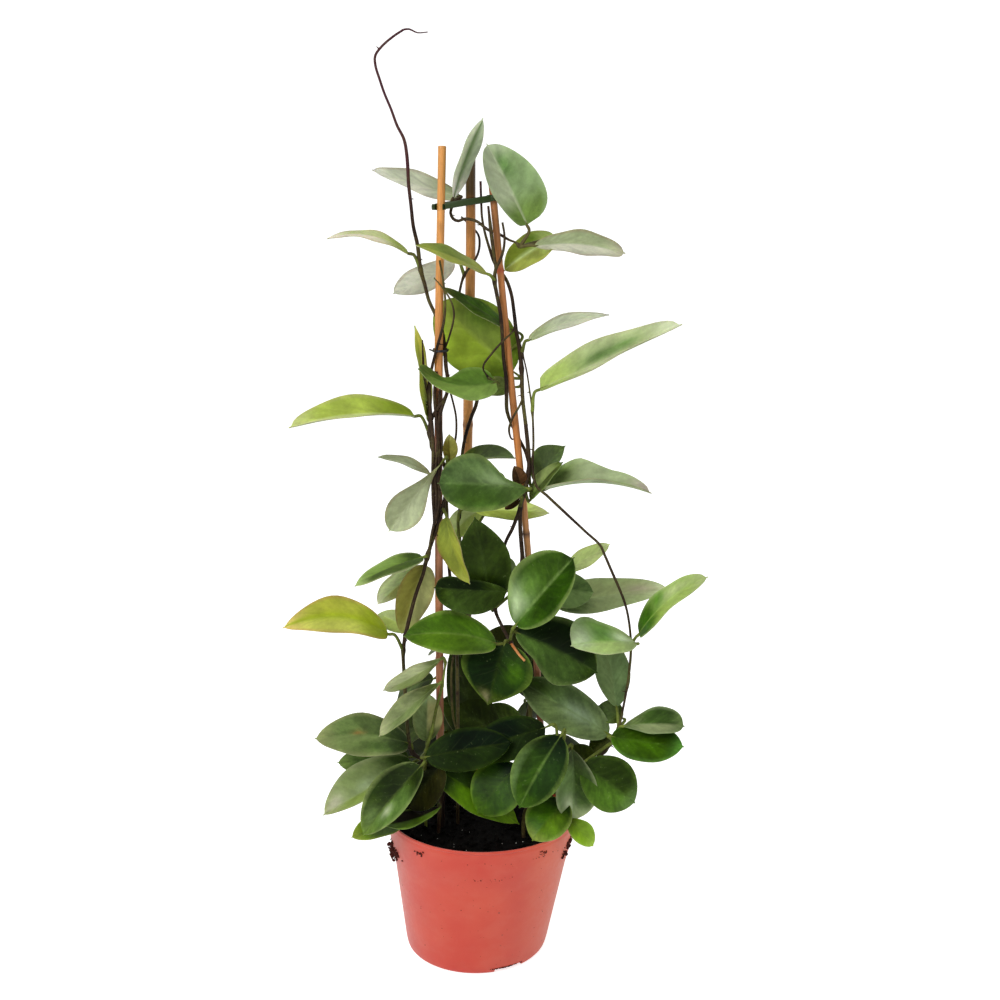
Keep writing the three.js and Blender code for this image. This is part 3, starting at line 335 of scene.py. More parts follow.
LEAVES = {
    "vine_left": [
        leaf((-42, 553, -2), (-51, 565, -3), (-112, 576, -10), 27, 75, 8, 4, 0.4, "rosy_strip"),
        leaf((-37, 428, -13), (-48, 441, -17), (-146, 432, -40), 40, 66, 6, 22, 0.45, "lime_pale",
             tip=0.45, low=((0.2, 1.1), (0.6, 1.3), (1, 1.8))),
        leaf((-36.5, 452, -14), (-38, 441, -12), (-47, 511, -12), 25, 70, 1, 5, 0.4, "lime_back"),
        leaf((-34, 418, -8), (-37, 396, -5), (-77, 409, 2), 24, 107, 3, 3, 0.4, "dim_under"),
        leaf((-24, 397, -10), (-27, 405, -27), (-70, 349, -34), 31, 150, 2, -8, 0.72, "dim_under",
             neck=0.8, drip=0),
        leaf((-20, 412, -10), (-21, 405, -20), (-21.5, 427, -22), 12, 15, 1, 10, 0.5, "bud_brown"),
        leaf((-27, 368, -21.8), (-24, 361, -30), (-6, 306, -38), 33, -60, 3, 14, 0.45, "lime_dim"),
        leaf((-39.5, 329, -24.5), (-43, 328, -31), (-98, 304, -46), 27, 60, 3, 5, 0.4, "fresh_edge"),
        leaf((-39.5, 329, -24.5), (-45, 319, -13), (-80, 289, -8), 28, 130, 2, 3, 0.45, "dull_under"),
        leaf((-39.5, 329, -24.5), (-42, 322, -21), (-61, 264, -18), 29, 165, 2, -12, 0.42, "olive_brown"),
        leaf((-58, 263, -27), (-54, 268, -10), (-80, 281, -4), 20, 30, 1, 3, 0.5, "dull_lime"),
        leaf((-60, 250, -27), (-72, 264, -31), (-156.8, 269, -47), 44, 50, 15, 6, 0.45, "lime_rosy"),
        leaf((-54, 162, -31), (-57, 170, -30), (-134, 174, -44), 43, 40, 7, 4, 0.5, "grey_top", neck=0.42,
             spots=((0.55, 0.1, 0.05, 0.1, "#8A6A3C"), (0.35, -0.5, 0.2, 0.3, "#3A5222"))),
        leaf((-54, 162, -31), (-57, 158, -10), (-116, 153, -12), 26, 15, 0, 4, 0.5, "deep_tip"),
        leaf((-45, 155.5, -32), (-54, 153, -18), (-129, 106, -34), 44, 37, 0, 37, 0.5, "grey_fold",
             neck=0.42, spots=((0.85, 0.3, 0.1, 0.4, "#B0AE98"), (0.5, 0.2, 0.1, 0.2, "#98A880"))),
        leaf((-35, 149, -33), (-33, 147, -38), (34, 98, -46), 34, 25, 2, 10, 0.45, "shade_bright",
             neck=0.36, tip=0.75),
        leaf((-35, 149, -33), (-30, 151, -40), (-58, 112, -44), 38, 30, 2, 5, 0.5, "dark_brown", neck=0.4),
    ],
    "vine_right": [
        leaf((-14, 605, 7), (-12, 607, 12), (-77, 626, 34), 38, 113, 0, 3, 0.42, "pale_under"),
        leaf((-14, 605, 7), (-17, 606, -3), (5.5, 663, -5), 26, -62, -2, 8, 0.55, "folded_grey"),
        leaf((33, 570, -13), (38, 586, -15), (8, 645, -14), 45, 26, 1, 26, 0.38, "half_grey", tip=0.45,
             drip=0, high=((0.1, 1.15), (0.4, 1.08), (1, 0.95)), low=((0.1, 0.7), (0.45, 0.95), (1, 1)),
             spots=((0.7, 0.25, 0.14, 0.24, "#587A40"),)),
        leaf((33, 570, -13), (44, 571, -16), (112.5, 565, -26), 36, 118, 5, 3, 0.55, "pale_spot", tip=0.4,
             drip=0.03),
        leaf((33, 570, -13), (60, 577, 4), (21, 552, 4), 36, 50, 2, 8, 0.5, "lime_green", bend=0.02,
             neck=0.4, drip=0, spots=((0.5, 0, 0.5, 0.1, "#A9BA78"), (0.35, 0.6, 0.12, 0.3, "#53701C"))),
        leaf((13.8, 545, -12), (8, 550, -20), (-45, 571, -40), 30, 72, 2, 6, 0.5, "two_tone"),
        leaf((9, 471, -15), (15, 467, -20), (-45, 478, -42), 40, 62, -8, 2, 0.35, "mid_green", tip=0.42,
             high=((0.1, 1.5), (0.3, 1.2), (0.52, 0.55), (0.64, 0.5), (0.85, 1.2))),
        leaf((34.5, 478, -9), (28, 464, 4), (0, 462, 4), 26, 125, 1, 3, 0.5, "shade_under"),
        leaf((35, 491, -9), (40, 500, -11), (101, 519, -20), 28, 110, 5, 3, 0.45, "pale_under"),
        leaf((43, 445, -14), (49, 462, -16), (157, 512, -34), 40, 60, 0, 22, 0.42, "patch_leaf", neck=0.34,
             tip=0.42, low=((0, 1.1), (0.3, 0.8), (0.6, 0.4), (1, 0.4)),
             spots=((0.44, 0.3, 0.16, 0.26, "#42642A"), (0.62, 0.35, 0.1, 0.2, "#5E8040"))),
        leaf((40.5, 397, -15), (45, 389, -4), (69, 418, 4), 25, 20, 2, 6, 0.55, "deep", tip=0.9,
             high=((0, 1.25),), low=((0, 0.5),)),
        leaf((37.5, 382, -16.5), (42, 375, -16), (67, 405, -12), 22, 60, 2, 10, 0.5, "half_shade"),
        leaf((37.5, 382, -16.5), (53, 383, -11), (137, 380, -26), 43, 66, 8, 28, 0.3, "grey_strip",
             tip=0.34, drip=0, high=((0, 0.9), (0.3, 1.12), (0.62, 0.72), (1, 0.62))),
        leaf((37.5, 382, -16.5), (40, 384, -24), (-31, 388, -40), 47, 20, 3, 8, 0.65, "sheen", tip=0.42,
             drip=0, high=((0, 0.4), (0.25, 0.42), (0.42, 0.85), (0.55, 1)), low=((0.25, 1.2), (0.5, 1)),
             spots=((0.36, 0.3, 0.16, 0.3, "#75895E"), (0.62, -0.55, 0.26, 0.2, "#33491C"))),
        leaf((37.5, 382, -16.5), (34, 387, -16.5), (29, 402, -17), 13, 20, 1, 20, 0.4, "bract"),
        leaf((34, 368, -15.5), (33, 376, -20), (22, 367, -21), 10, 20, 1, 20, 0.4, "bract"),
        leaf((36, 325, -15.5), (66, 314, -18), (105, 339, -15), 19, 138, 1, 3, 0.55, "pale_lime"),
        leaf((36, 300, -15.5), (62, 291, 8), (152, 303, 4), 34, 143, 1, 3, 0.38, "grey_green", drip=0,
             spots=((0.75, 0.2, 0.14, 0.4, "#A09A80"), (0.2, -0.3, 0.1, 0.5, "#3E5628"))),
        leaf((36, 300, -15.5), (48, 301, -19), (93, 299, -17), 30, 20, 2, 4, 0.55, "deep_pale"),
        leaf((26, 258, -23), (31, 272, -30), (77, 328, -42), 57, 25, 2, 25, 0.55, "split_gloss", tip=0.42,
             drip=0, spots=((0.2, 0.5, 0.17, 0.34, "#A8BA8E"), (0.42, 0.4, 0.14, 0.24, "#54742E"))),
        leaf((17, 312, -8), (11, 289, -10), (-2, 361, -20), 43, 5, 2, 6, 0.5, "night_green", tip=0.8),
        leaf((14, 286, -12), (23, 300, -20), (-35, 303, -32), 38, -8, 3, 5, 0.5, "black_green",
             high=((0, 0.35), (0.6, 0.45), (1, 0.9)), drip=0, tip=0.4),
        leaf((26, 258, -23), (15, 256, -29), (-60, 262, -44), 42, 38, 8, 6, 0.5, "leaf_green"),
        leaf((26, 258, -23), (31, 265.5, -25), (97, 231, -42), 55, 20, 4, 6, 0.5, "deep_margin",
             low=((0, 0.5), (0.31, 0.6), (0.55, 0.95), (0.65, 1.05))),
        leaf((26, 258, -23), (22, 257, -27), (8, 203.5, -36), 58, 8, 3, 4, 0.42, "deep_bright", tip=0.85,
             spots=((0.88, 0.3, 0.08, 0.3, "#6E6A4C"), (0.4, -0.5, 0.2, 0.3, "#33500F"))),
        leaf((123.5, 255, -22), (128, 256, -26), (75, 254, -44), 40, 48, 3, 10, 0.6, "pale_patch",
             tip=0.45, high=((0, 1), (0.5, 1.1), (1, 1.7)), low=((0, 1.1), (0.5, 0.95), (1, 0.6)),
             spots=((0.5, 0.4, 0.16, 0.3, "#4E7432"), (0.82, 0.2, 0.14, 0.6, "#B0C09A"),
                    (0.2, 0.3, 0.14, 0.3, "#B4C4A0"))),
        leaf((123.5, 255, -22), (130, 264, -26), (183.6, 312, -36), 38, 62, 6, 8, 0.4, "half_lime",
             neck=0.42, tip=0.42, drip=0,
             spots=((0.6, 0.4, 0.2, 0.3, "#A8B67A"), (0.2, 0, 0.15, 1.2, "#2C5808"),
                    (0.4, 0.6, 0.07, 0.4, "#4C8418"))),
        leaf((115, 184, -25), (113, 202, -20), (103, 262, -14), 30, 160, 2, 4, 0.55, "dull_green"),
        leaf((111, 173, -28), (107, 178, -23.5), (33, 225, -23), 37, 8, 2, 3, 0.5, "grey_dark",
             spots=((0.35, 0.1, 0.16, 0.35, "#76886A"), (0.8, 0.3, 0.16, 0.5, "#23340F"))),
        leaf((111, 173, -28), (108, 176, -22), (92, 162, -16), 18, 15, 1, 5, 0.5, "shade"),
        leaf((115, 184, -25), (119, 185, -28), (169, 185, -38), 39, 56, 2, 12, 0.64, "half_pale", tip=0.4,
             drip=0),
        leaf((111, 173, -28), (109, 176, -36), (169, 167, -50), 43, 42, -1, 2, 0.5, "bright_edge"),
        leaf((115, 184, -25), (118, 192, -18), (98, 203, -12), 20, 15, 1, 4, 0.5, "deep"),
        leaf((109, 171, -33), (86, 151, -42), (130, 117, -50), 44, 12, 3, 4, 0.55, "wet_green", neck=0.4,
             bend=0.02),
        leaf((90, 148, -38), (94, 151, -24), (130, 142, -24), 20, 30, 2, 4, 0.5, "shade"),
        leaf((90, 148, -38), (96, 150, -22), (75, 167, -20), 20, 10, 1, 4, 0.5, "shade"),
    ],
    "vine_rear": [
        leaf((-9, 549, 9.5), (-17, 559, 15), (-63, 535, 24), 36, 125, -1, 0, 0.5, "pale_back", drip=0),
        leaf((1, 475, 22), (28, 476, 9), (-31, 528, 7), 58, 172, 3, 4, 0.5, "glow",
             spots=((0.6, 0.5, 0.16, 0.3, "#5A7428"), (0.75, -0.2, 0.1, 0.2, "#A4B452"))),
        leaf((1, 475, 22), (25, 509, 3), (-26, 540, 1), 15, 50, 1, 3, 0.45, "shade_mixed"),
        leaf((-12, 405, 18), (-14, 403, 3), (30, 408, 2), 36, 70, 3, 18, 0.5, "deep"),
        leaf((-14, 330, 24), (-2, 366, 12), (57, 364, 10), 30, 60, 1, 3, 0.5, "glow_pale"),
        leaf((-14, 330, 24), (3, 368, 19), (-24, 345, 19), 22, 170, 2, 5, 0.5, "dull_lime"),
        leaf((-12, 405, 18), (4, 394, 34), (10, 374, 64), 34, 40, 5, 6, 0.5, "back_green"),
        leaf((-14, 330, 24), (9, 325, 36), (24, 300, 66), 34, 30, 5, 6, 0.5, "back_green"),
        leaf((-14, 240, 30), (-20, 262, 38), (-30, 258, 76), 40, 50, 5, 6, 0.5, "back_green"),
        leaf((-14, 240, 30), (4, 240, 40), (20, 222, 74), 44, 30, 5, 6, 0.5, "back_green"),
        leaf((-13, 190, 32), (16, 178, 12), (-30, 208, 8), 44, 25, 3, 6, 0.5, "back_shade"),
        leaf((-14, 240, 30), (-2, 178, 19), (-20, 254, 14), 34, 20, 3, 6, 0.5, "back_shade"),
    ],
    "stems_low_left": [
        leaf((-26, 240, -36), (-30, 243, -42), (-77, 216, -56), 31, 115, -1, 0, 0.6, "under_dusk"),
        leaf((-29, 220, -37), (-31, 222, -42), (-81, 176, -54), 34, 62, 1, 12, 0.6, "grey_under"),
        leaf((-38, 180, -38), (-42, 172, -34), (-41, 214, -31), 24, 12, 1, 5, 0.5, "dusk_under"),
        leaf((-44, 148, -36), (-47, 150, -52), (-96, 88, -72), 40, 30, 2, 22, 0.5, "split_low", neck=0.42,
             spots=((0.62, -0.25, 0.07, 0.16, "#A9B48E"), (0.8, 0.3, 0.12, 0.4, "#566B3A"))),
        leaf((-43, 130, -30), (-64, 98, -48), (-106, 86, -60), 30, 52, 3, 5, 0.5, "bright"),
        leaf((-43, 130, -30), (-32, 113, -52), (-79, 97, -66), 30, 62, -3, 8, 0.6, "margin_green",
             bend=0.02),
        leaf((-43, 162, -38), (-43, 158, -51), (28, 171, -51), 34, 10, 2, 4, 0.5, "night_low"),
    ],
    "stems_low_right": [
        leaf((70, 171, -34), (67.5, 176, -54), (34, 112.5, -75), 42, 15, 5, 6, 0.5, "rib_green",
             spots=((0.6, 0.85, 0.3, 0.16, "#5C7444"),)),
        leaf((64, 156, -38), (77, 165, -38), (78, 101, -54), 38, 20, 4, 22, 0.62, "strip_left",
             spots=((0.78, -0.3, 0.14, 0.3, "#A9B590"),)),
        leaf((52, 126, -44), (72.5, 119, -50), (45, 83, -68), 40, 30, 3, 5, 0.5, "mid_bright"),
        leaf((52, 126, -44), (72, 103, -56), (96, 78, -68), 21, 35, 2, 8, 0.6, "fresh_lime"),
        leaf((64, 156, -38), (33, 150, -45), (-1, 108, -57), 44, 18, 4, 4, 0.5, "low_bright"),
        leaf((64, 156, -38), (55, 184, -43), (-7, 163, -43), 34, 5, 1, 4, 0.5, "night_low"),
    ],
    "stems_back_left": [
        leaf((-30, 200, 34), (-36, 188, 44), (-98, 158, 70), 40, 45, 6, 6, 0.5, "back_shade"),
        leaf((-32, 180, 32), (-24, 170, 44), (-88, 136, 76), 46, 50, 6, 6, 0.5, "back_shade"),
        leaf((-30, 210, 32), (-24, 200, 46), (-36, 162, 82), 40, 35, 6, 6, 0.5, "back_shade"),
        leaf((-32, 180, 32), (-20, 178, 56), (4, 166, 92), 36, 40, 6, 6, 0.5, "back_shade"),
        leaf((-30, 240, 30), (-36, 226, 40), (-66, 206, 60), 30, 50, 5, 6, 0.5, "back_green"),
    ],
    "stems_back_right": [
        leaf((43, 210, 34), (50, 200, 46), (104, 188, 70), 36, 45, 6, 6, 0.5, "back_shade"),
        leaf((38, 180, 34), (48, 166, 48), (100, 146, 76), 40, 50, 6, 6, 0.5, "back_shade"),
        leaf((43, 210, 34), (38, 206, 48), (34, 184, 86), 36, 45, 5, 6, 0.5, "back_shade"),
        leaf((38, 180, 34), (36, 172, 52), (62, 158, 90), 34, 45, 5, 6, 0.5, "back_shade"),
        leaf((46, 240, 32), (52, 240, 42), (78, 240, 66), 36, 60, 5, 6, 0.5, "back_green"),
        leaf((46, 240, 32), (48, 247, 14), (4, 262, 12), 32, 20, 3, 6, 0.5, "back_dim"),
        leaf((43, 210, 34), (76, 208, 19), (20, 238, 14), 38, 20, 3, 6, 0.5, "back_shade"),
        leaf((38, 180, 34), (36, 182, 32), (8, 203, 29), 22, 20, 2, 6, 0.5, "back_green"),
    ],
}


def look(high, low, edge, gloss, **more):
    """Colours of the face that the viewer sees: its two halves and its margin. The two halves carry painted
    light and shade, the one painted with the sheen or light that it catches and the other with its shade.

    more holds the ends, base and tip, and the rib with the width of its strip, where they differ. gloss is 1
    for a waxed upper face and 0 for a dull underside.
    """
    return {"high": high, "low": low, "edge": edge, "gloss": gloss, **more}


# Each look holds the colours that a leaf shows in the scene's light, so painted light and shade are in them:
# the darkest
# looks, such as shade, back_shade, back_dim, night_low and black_green, and many a near-black base or tip,
# are mostly painted shade; glow, glow_pale, lime_back and dull_under are painted lighter, as light through
# or onto the leaf.
LOOKS = {
    "rosy_strip": look("#B4BB84", "#C6C0A6", "#B08A7A", 0.3, base="#8FA044", tip="#CBC6B0"),
    "lime_pale": look("#98A848", "#BCC680", "#A8A070", 0.4, base="#7C8E27", tip="#B4BC78"),
    "lime_dim": look("#8E9438", "#767F32", "#7C6038", 0.4, base="#606A2C", tip="#A4AA4C"),
    "lime_back": look("#D0D464", "#AEBA4C", "#94744A", 0.3, base="#94A244", tip="#CCD264"),
    "back_dim": look("#3A3E20", "#30381A", "#4A4E2C", 0.2),
    "dim_under": look("#98A07C", "#ACB490", "#8A7660", 0.1, base="#86885E"),
    "bud_brown": look("#6E6C34", "#544E1E", "#6A5A38", 0.3, tip="#7A7A4A"),
    "fresh_edge": look("#6A843C", "#3C5010", "#A9AF80", 0.4, base="#364C12", tip="#8FA562"),
    "dull_under": look("#CAD6A2", "#B6B676", "#8A7A58", 0.1, tip="#CED2AE"),
    "olive_brown": look("#827F3C", "#A0A16A", "#8A6E4C", 0.3, tip="#A2A65A"),
    "dull_lime": look("#A2AE74", "#A6B464", "#96A074", 0.3, tip="#9AA870"),
    "lime_rosy": look("#9EA23A", "#AEB24E", "#B47E5C", 0.4, rib="#8A9A20", strip=0.26, base="#8E9C28",
                      tip="#BCAA5C"),
    "grey_top": look("#546638", "#6A7C46", "#8A8A62", 0.6, base="#32461C", tip="#828A58"),
    "deep_tip": look("#3E5424", "#4A602C", "#5C7030", 0.5, tip="#64793C"),
    "grey_fold": look("#80905A", "#7E9048", "#A0A47E", 0.6, base="#3A4E22", tip="#9CA470"),
    "shade_bright": look("#1E2E0A", "#4A6C10", "#5E7E1E", 0.4, base="#1E2E0A", tip="#62841C"),
    "dark_brown": look("#1A1E0E", "#2A2A14", "#2C2818", 0.2),
    "pale_under": look("#C6CCB4", "#CED0BC", "#96786A", 0.1, base="#AAB48A", tip="#C6C7B9"),
    "pale_back": look("#D8DBC8", "#D6D8C6", "#96786A", 0.1),
    "folded_grey": look("#C0C8A8", "#ACB99A", "#A9AE9C", 0.3, rib="#55713A", strip=0.34, base="#D8D8CA"),
    "half_grey": look("#758A5E", "#A2AC8C", "#8FA078", 0.5, rib="#B4BA9E", base="#647C3C", tip="#98A484"),
    "pale_spot": look("#9AA57E", "#BEBEAA", "#93705E", 0.2, tip="#A9A78C"),
    "lime_green": look("#70802A", "#88923E", "#8E8A40", 0.5, rib="#A8B87C", base="#A6B866"),
    "two_tone": look("#6C7C36", "#8C963A", "#8E8A4C", 0.5, base="#868E38", tip="#7C8836"),
    "mid_green": look("#4E6A2C", "#6E8842", "#7E9452", 0.6, tip="#58702E"),
    "shade_under": look("#556234", "#4C5C28", "#6A6A44", 0.1),
    "patch_leaf": look("#98A476", "#B0B78E", "#A9A686", 0.4, base="#94A65A", tip="#B6BD9C"),
    "deep": look("#46582A", "#4A5E30", "#5C6E30", 0.6, base="#445218"),
    "half_shade": look("#7C8C52", "#3A461C", "#7C8A50", 0.3, base="#5E7436", tip="#40501E"),
    "grey_strip": look("#929E78", "#7E9256", "#93A07A", 0.4, rib="#687C42", strip=0.14, base="#5E7038",
                       tip="#9A9084"),
    "sheen": look("#4A5E36", "#405A26", "#75834A", 0.4, rib="#5C7440", base="#4E6632", tip="#42582E"),
    "bract": look("#463020", "#33241A", "#3A2418", 0.2),
    "pale_lime": look("#A8B872", "#B8C482", "#9A9A62", 0.3, base="#7C9A50", tip="#B4BE86"),
    "grey_green": look("#929E6C", "#909E6E", "#8E9A70", 0.3, base="#445430", tip="#AAB28C"),
    "deep_pale": look("#566E3C", "#748C54", "#6C7C4C", 0.4),
    "split_gloss": look("#2E4616", "#243C0E", "#8C9E5C", 0.3, rib="#6C8448", base="#3A5A1C"),
    "night_green": look("#2C3C16", "#34461A", "#485A28", 0.35, base="#16220A", tip="#38481E"),
    "black_green": look("#182410", "#36491F", "#42542A", 0.15, base="#2E3E1A", tip="#18220A"),
    "leaf_green": look("#3E5C1A", "#48661C", "#8A9A50", 0.6, rib="#64783A"),
    "deep_margin": look("#16220A", "#3A5024", "#6A7C46", 0.35, tip="#1E2C10"),
    "deep_bright": look("#14220A", "#1A2C0A", "#5E7430", 0.2, tip="#3E4C1E"),
    "pale_patch": look("#6A8C40", "#96AC66", "#AABA88", 0.7, base="#889A62", tip="#9EB080"),
    "half_lime": look("#88A052", "#90A84E", "#A2B078", 0.5, base="#44680C", tip="#9EAD70"),
    "dull_green": look("#60764A", "#6A7E50", "#74825A", 0.4),
    "grey_dark": look("#43562F", "#4E5E37", "#74825A", 0.4, base="#566640", tip="#1E2C10"),
    "shade": look("#2A3214", "#34391C", "#444C2C", 0.3),
    "half_pale": look("#344A20", "#7C885C", "#8A9870", 0.25, base="#5A6A3E", tip="#5E7241"),
    "bright_edge": look("#2E4610", "#3A5A16", "#6E9A4A", 0.4, tip="#528432"),
    "wet_green": look("#283A0C", "#3E5A1E", "#587030", 0.35, tip="#55703A"),
    "glow": look("#788A3C", "#94AC38", "#5C6C20", 0.3, rib="#93A648", base="#5A7022", tip="#8C9C42"),
    "glow_pale": look("#D8EA88", "#A8B850", "#98A05A", 0.2, tip="#DCE29A"),
    "shade_mixed": look("#36521A", "#30460E", "#5A6A34", 0.4, tip="#5E6A34"),
    "under_dusk": look("#AAB286", "#94A268", "#8C8064", 0.1, base="#5E6C3E", tip="#A8AC88"),
    "grey_under": look("#727C54", "#667644", "#8C8A60", 0.2, base="#444E26", tip="#979C72"),
    "dusk_under": look("#9E9C68", "#5C6A42", "#6C6C46", 0.2, base="#526038", tip="#90A474"),
    "split_low": look("#202E10", "#4E6830", "#8A9A5C", 0.3, rib="#4C5E28", base="#22300E", tip="#5A7030"),
    "bright": look("#64801E", "#5E7A1E", "#9CAE44", 0.7, tip="#808F32"),
    "margin_green": look("#4A6618", "#1C1606", "#7E9440", 0.15, tip="#42581A"),
    "night_low": look("#10190A", "#1C2A0E", "#2C3C16", 0.0, base="#1A260C", tip="#121E0A"),
    "rib_green": look("#243A10", "#1C300C", "#6A8040", 0.15, rib="#587038", base="#121E08", tip="#35501C"),
    "strip_left": look("#3A5220", "#5C7640", "#98A078", 0.7, base="#3C4A28", tip="#A0AE80"),
    "mid_bright": look("#385A10", "#486418", "#8A9A4C", 0.5, base="#263C0A", tip="#6E7E36"),
    "fresh_lime": look("#74962A", "#789C22", "#94B048", 0.7, base="#526414", tip="#92B240"),
    "low_bright": look("#28400E", "#2C480E", "#6E8C30", 0.4, base="#101C06", tip="#42620F"),
    "back_green": look("#3C4C20", "#445626", "#5E6C3A", 0.5, base="#26320F"),
    "back_shade": look("#242E12", "#2C3818", "#3E4A26", 0.4),
}

# The face that the viewer doesn't see.
OTHER_UNDER = look("#A3B08C", "#9DAB86", "#8C7460", 0.1, rib="#B9C2A4")
OTHER_TOP = look("#3C5E28", "#42662C", "#7C9458", 0.9, rib="#6E8A4A")


def srgb(code):
    """An sRGB hex colour as linear numbers."""
    channels = [int(code[i:i + 2], 16) / 255 for i in (1, 3, 5)]
    linear = [c / 12.92 if c <= 0.04045 else ((c + 0.055) / 1.055) ** 2.4 for c in channels]
    return np.array(linear)


def colour_value(code):
    return (*srgb(code), 1.0)


def seen(reading):
    """Where a reading on the upright plane lies at its own depth, along the line from the eye."""
    x, z, depth = reading
    k = (depth - EYE[1]) / -EYE[1]
    return np.array([EYE[0] + (x - EYE[0]) * k, depth, EYE[2] + (z - EYE[2]) * k])


def unit(v):
    return v / np.linalg.norm(v)


def fade(value, low, high):
    """A smooth step from 0 to 1 between two limits."""
    t = np.clip((value - low) / (high - low), 0, 1)
    return t * t * (3 - 2 * t)


def bell(distance, spread):
    return np.exp(-(distance / spread) ** 2)


def blend(colour, other, share):
    """Colours one way where the share is 0 and the other where it is 1."""
    share = share[:, None]
    return colour * (1 - share) + other * share


def smooth_run(points, step):
    """Points about `step` apart along a centripetal spline through the given ones."""
    points = [np.asarray(p, float) for p in points]
    padded = [2 * points[0] - points[1], *points, 2 * points[-1] - points[-2]]
    run = []
    for p0, p1, p2, p3 in zip(padded, padded[1:], padded[2:], padded[3:]):
        d0, d1, d2 = (max(np.linalg.norm(b - a), 1e-4) ** 0.5 for a, b in ((p0, p1), (p1, p2), (p2, p3)))
        leave = ((p1 - p0) / d0 - (p2 - p0) / (d0 + d1) + (p2 - p1) / d1) * d1
        arrive = ((p2 - p1) / d1 - (p3 - p1) / (d1 + d2) + (p3 - p2) / d2) * d1
        count = max(1, round(np.linalg.norm(p2 - p1) / step))
        for i in range(count):
            t = i / count
            run.append(p1 + leave * t + (3 * (p2 - p1) - 2 * leave - arrive) * t**2
                       + (2 * (p1 - p2) + leave + arrive) * t**3)
    run.append(points[-1])
    return run


# Blender objects

def deselect():
    if bpy.context.object and bpy.context.object.mode != "OBJECT":
        bpy.ops.object.mode_set(mode="OBJECT")
    bpy.ops.object.select_all(action="DESELECT")


def take(piece):
    deselect()
    piece.select_set(True)
    bpy.context.view_layer.objects.active = piece


def join(pieces, name):
    """One object out of several."""
    deselect()
    for piece in pieces:
        piece.select_set(True)
    bpy.context.view_layer.objects.active = pieces[0]
    if len(pieces) > 1:
        bpy.ops.object.join()
    pieces[0].name = name
    return pieces[0]


def placed(name, data):
    """A new object in the scene for a mesh, a curve, a lamp or a camera."""
    made = bpy.data.objects.new(name, data)
    bpy.context.collection.objects.link(made)
    return made


def settle(piece):
    """The object's place goes into its mesh."""
    take(piece)
    bpy.ops.object.transform_apply(location=True, rotation=True, scale=True)


def modify(piece, kind, **settings):
    take(piece)
    modifier = piece.modifiers.new(kind.lower(), kind)
    for key, value in settings.items():
        setattr(modifier, key, value)
    bpy.ops.object.modifier_apply(modifier=modifier.name)


def block(size, at=(0, 0, 0), turn=0):
    """A box of a size in mm, with its middle at a place, turned about the upright axis."""
    deselect()
    bpy.ops.mesh.primitive_cube_add(size=1, location=Vector(at) * MM)
    made = bpy.context.object
    made.scale = Vector(size) * MM
    made.rotation_euler = (0, 0, math.radians(turn))
    settle(made)
    return made


def cut(piece, tool):
    """Takes the tool's shape out of the piece."""
    modify(piece, "BOOLEAN", operation="DIFFERENCE", object=tool, solver="EXACT")
    bpy.data.objects.remove(tool)


def coat(piece, finish):
    """The finish in place of any other."""
    piece.data.materials.clear()
    piece.data.materials.append(finish)


def shade(piece, degrees):
    take(piece)
    bpy.ops.object.shade_smooth_by_angle(angle=math.radians(degrees))


def dress(piece, slot, *nodes):
    """Rides the piece on the part and hides the solids that it stands for; slot is not used."""
    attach(piece, "root")
    if nodes:
        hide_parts(*nodes)


def corners(mesh):
    """A mesh's vertices as an array of millimetres."""
    flat = np.empty(len(mesh.vertices) * 3)
    mesh.vertices.foreach_get("co", flat)
    return flat.reshape(-1, 3) / MM


def set_corners(mesh, points):
    mesh.vertices.foreach_set("co", (np.asarray(points) * MM).ravel())
    mesh.update()


def tint(mesh, colours):
    """Stores a linear colour and a gloss for each vertex, as the attribute `tint`."""
    layer = mesh.attributes.new("tint", "FLOAT_COLOR", "POINT")
    layer.data.foreach_set("color", np.asarray(colours, np.float32).ravel())


# Shader nodes

def feed(tree, value, socket):
    """Links an output to a socket, or sets the socket to a value."""
    if hasattr(value, "is_output"):
        tree.links.new(value, socket)
    else:
        socket.default_value = value


def add(tree, kind, sources=(), stops=(), **settings):
    """Adds a node with its settings and links, and returns its outputs.

    sources feeds sockets by name or number, or in their order. A setting is a property or a socket's value,
    and stops are the places and hex colours of a colour ramp.
    """
    node = tree.nodes.new("ShaderNode" + kind)
    for key, value in settings.items():
        if hasattr(node, key):
            setattr(node, key, value)
        else:
            feed(tree, value, node.inputs[key.replace("_", " ")])
    for socket, value in dict(sources if isinstance(sources, dict) else enumerate(sources)).items():
        feed(tree, value, node.inputs[socket])
    while stops and len(node.color_ramp.elements) < len(stops):
        node.color_ramp.elements.new(0.5)
    for number, (place, code) in enumerate(stops):
        node.color_ramp.elements[number].position = place
        node.color_ramp.elements[number].color = colour_value(code)
    return node.outputs


def wire(tree, surface, **sources):
    """Feeds the surface's inputs of those names."""
    for name, source in sources.items():
        feed(tree, source, surface.inputs[name.replace("_", " ")])


def material(name, roughness, **shader):
    """A new material, its node tree, its surface and the place on the object."""
    made = bpy.data.materials.new(name)
    made.use_nodes = True
    tree = made.node_tree
    surface = tree.nodes["Principled BSDF"]
    wire(tree, surface, Roughness=roughness, **shader)
    return made, tree, surface, add(tree, "TexCoord")["Object"]


def of_size(size):
    """The scale that gives a pattern patches of a size in mm."""
    return 1 / (size * MM)


def smooth_steps(tree, *steps):
    """The product of smooth steps, each a value, its two limits and what it gives at them, or 0 and 1."""
    product = None
    for step in steps:
        eased = add(tree, "MapRange", step, interpolation_type="SMOOTHSTEP")[0]
        product = add(tree, "Math", (product, eased), operation="MULTIPLY")[0] if product else eased
    return product


# Materials

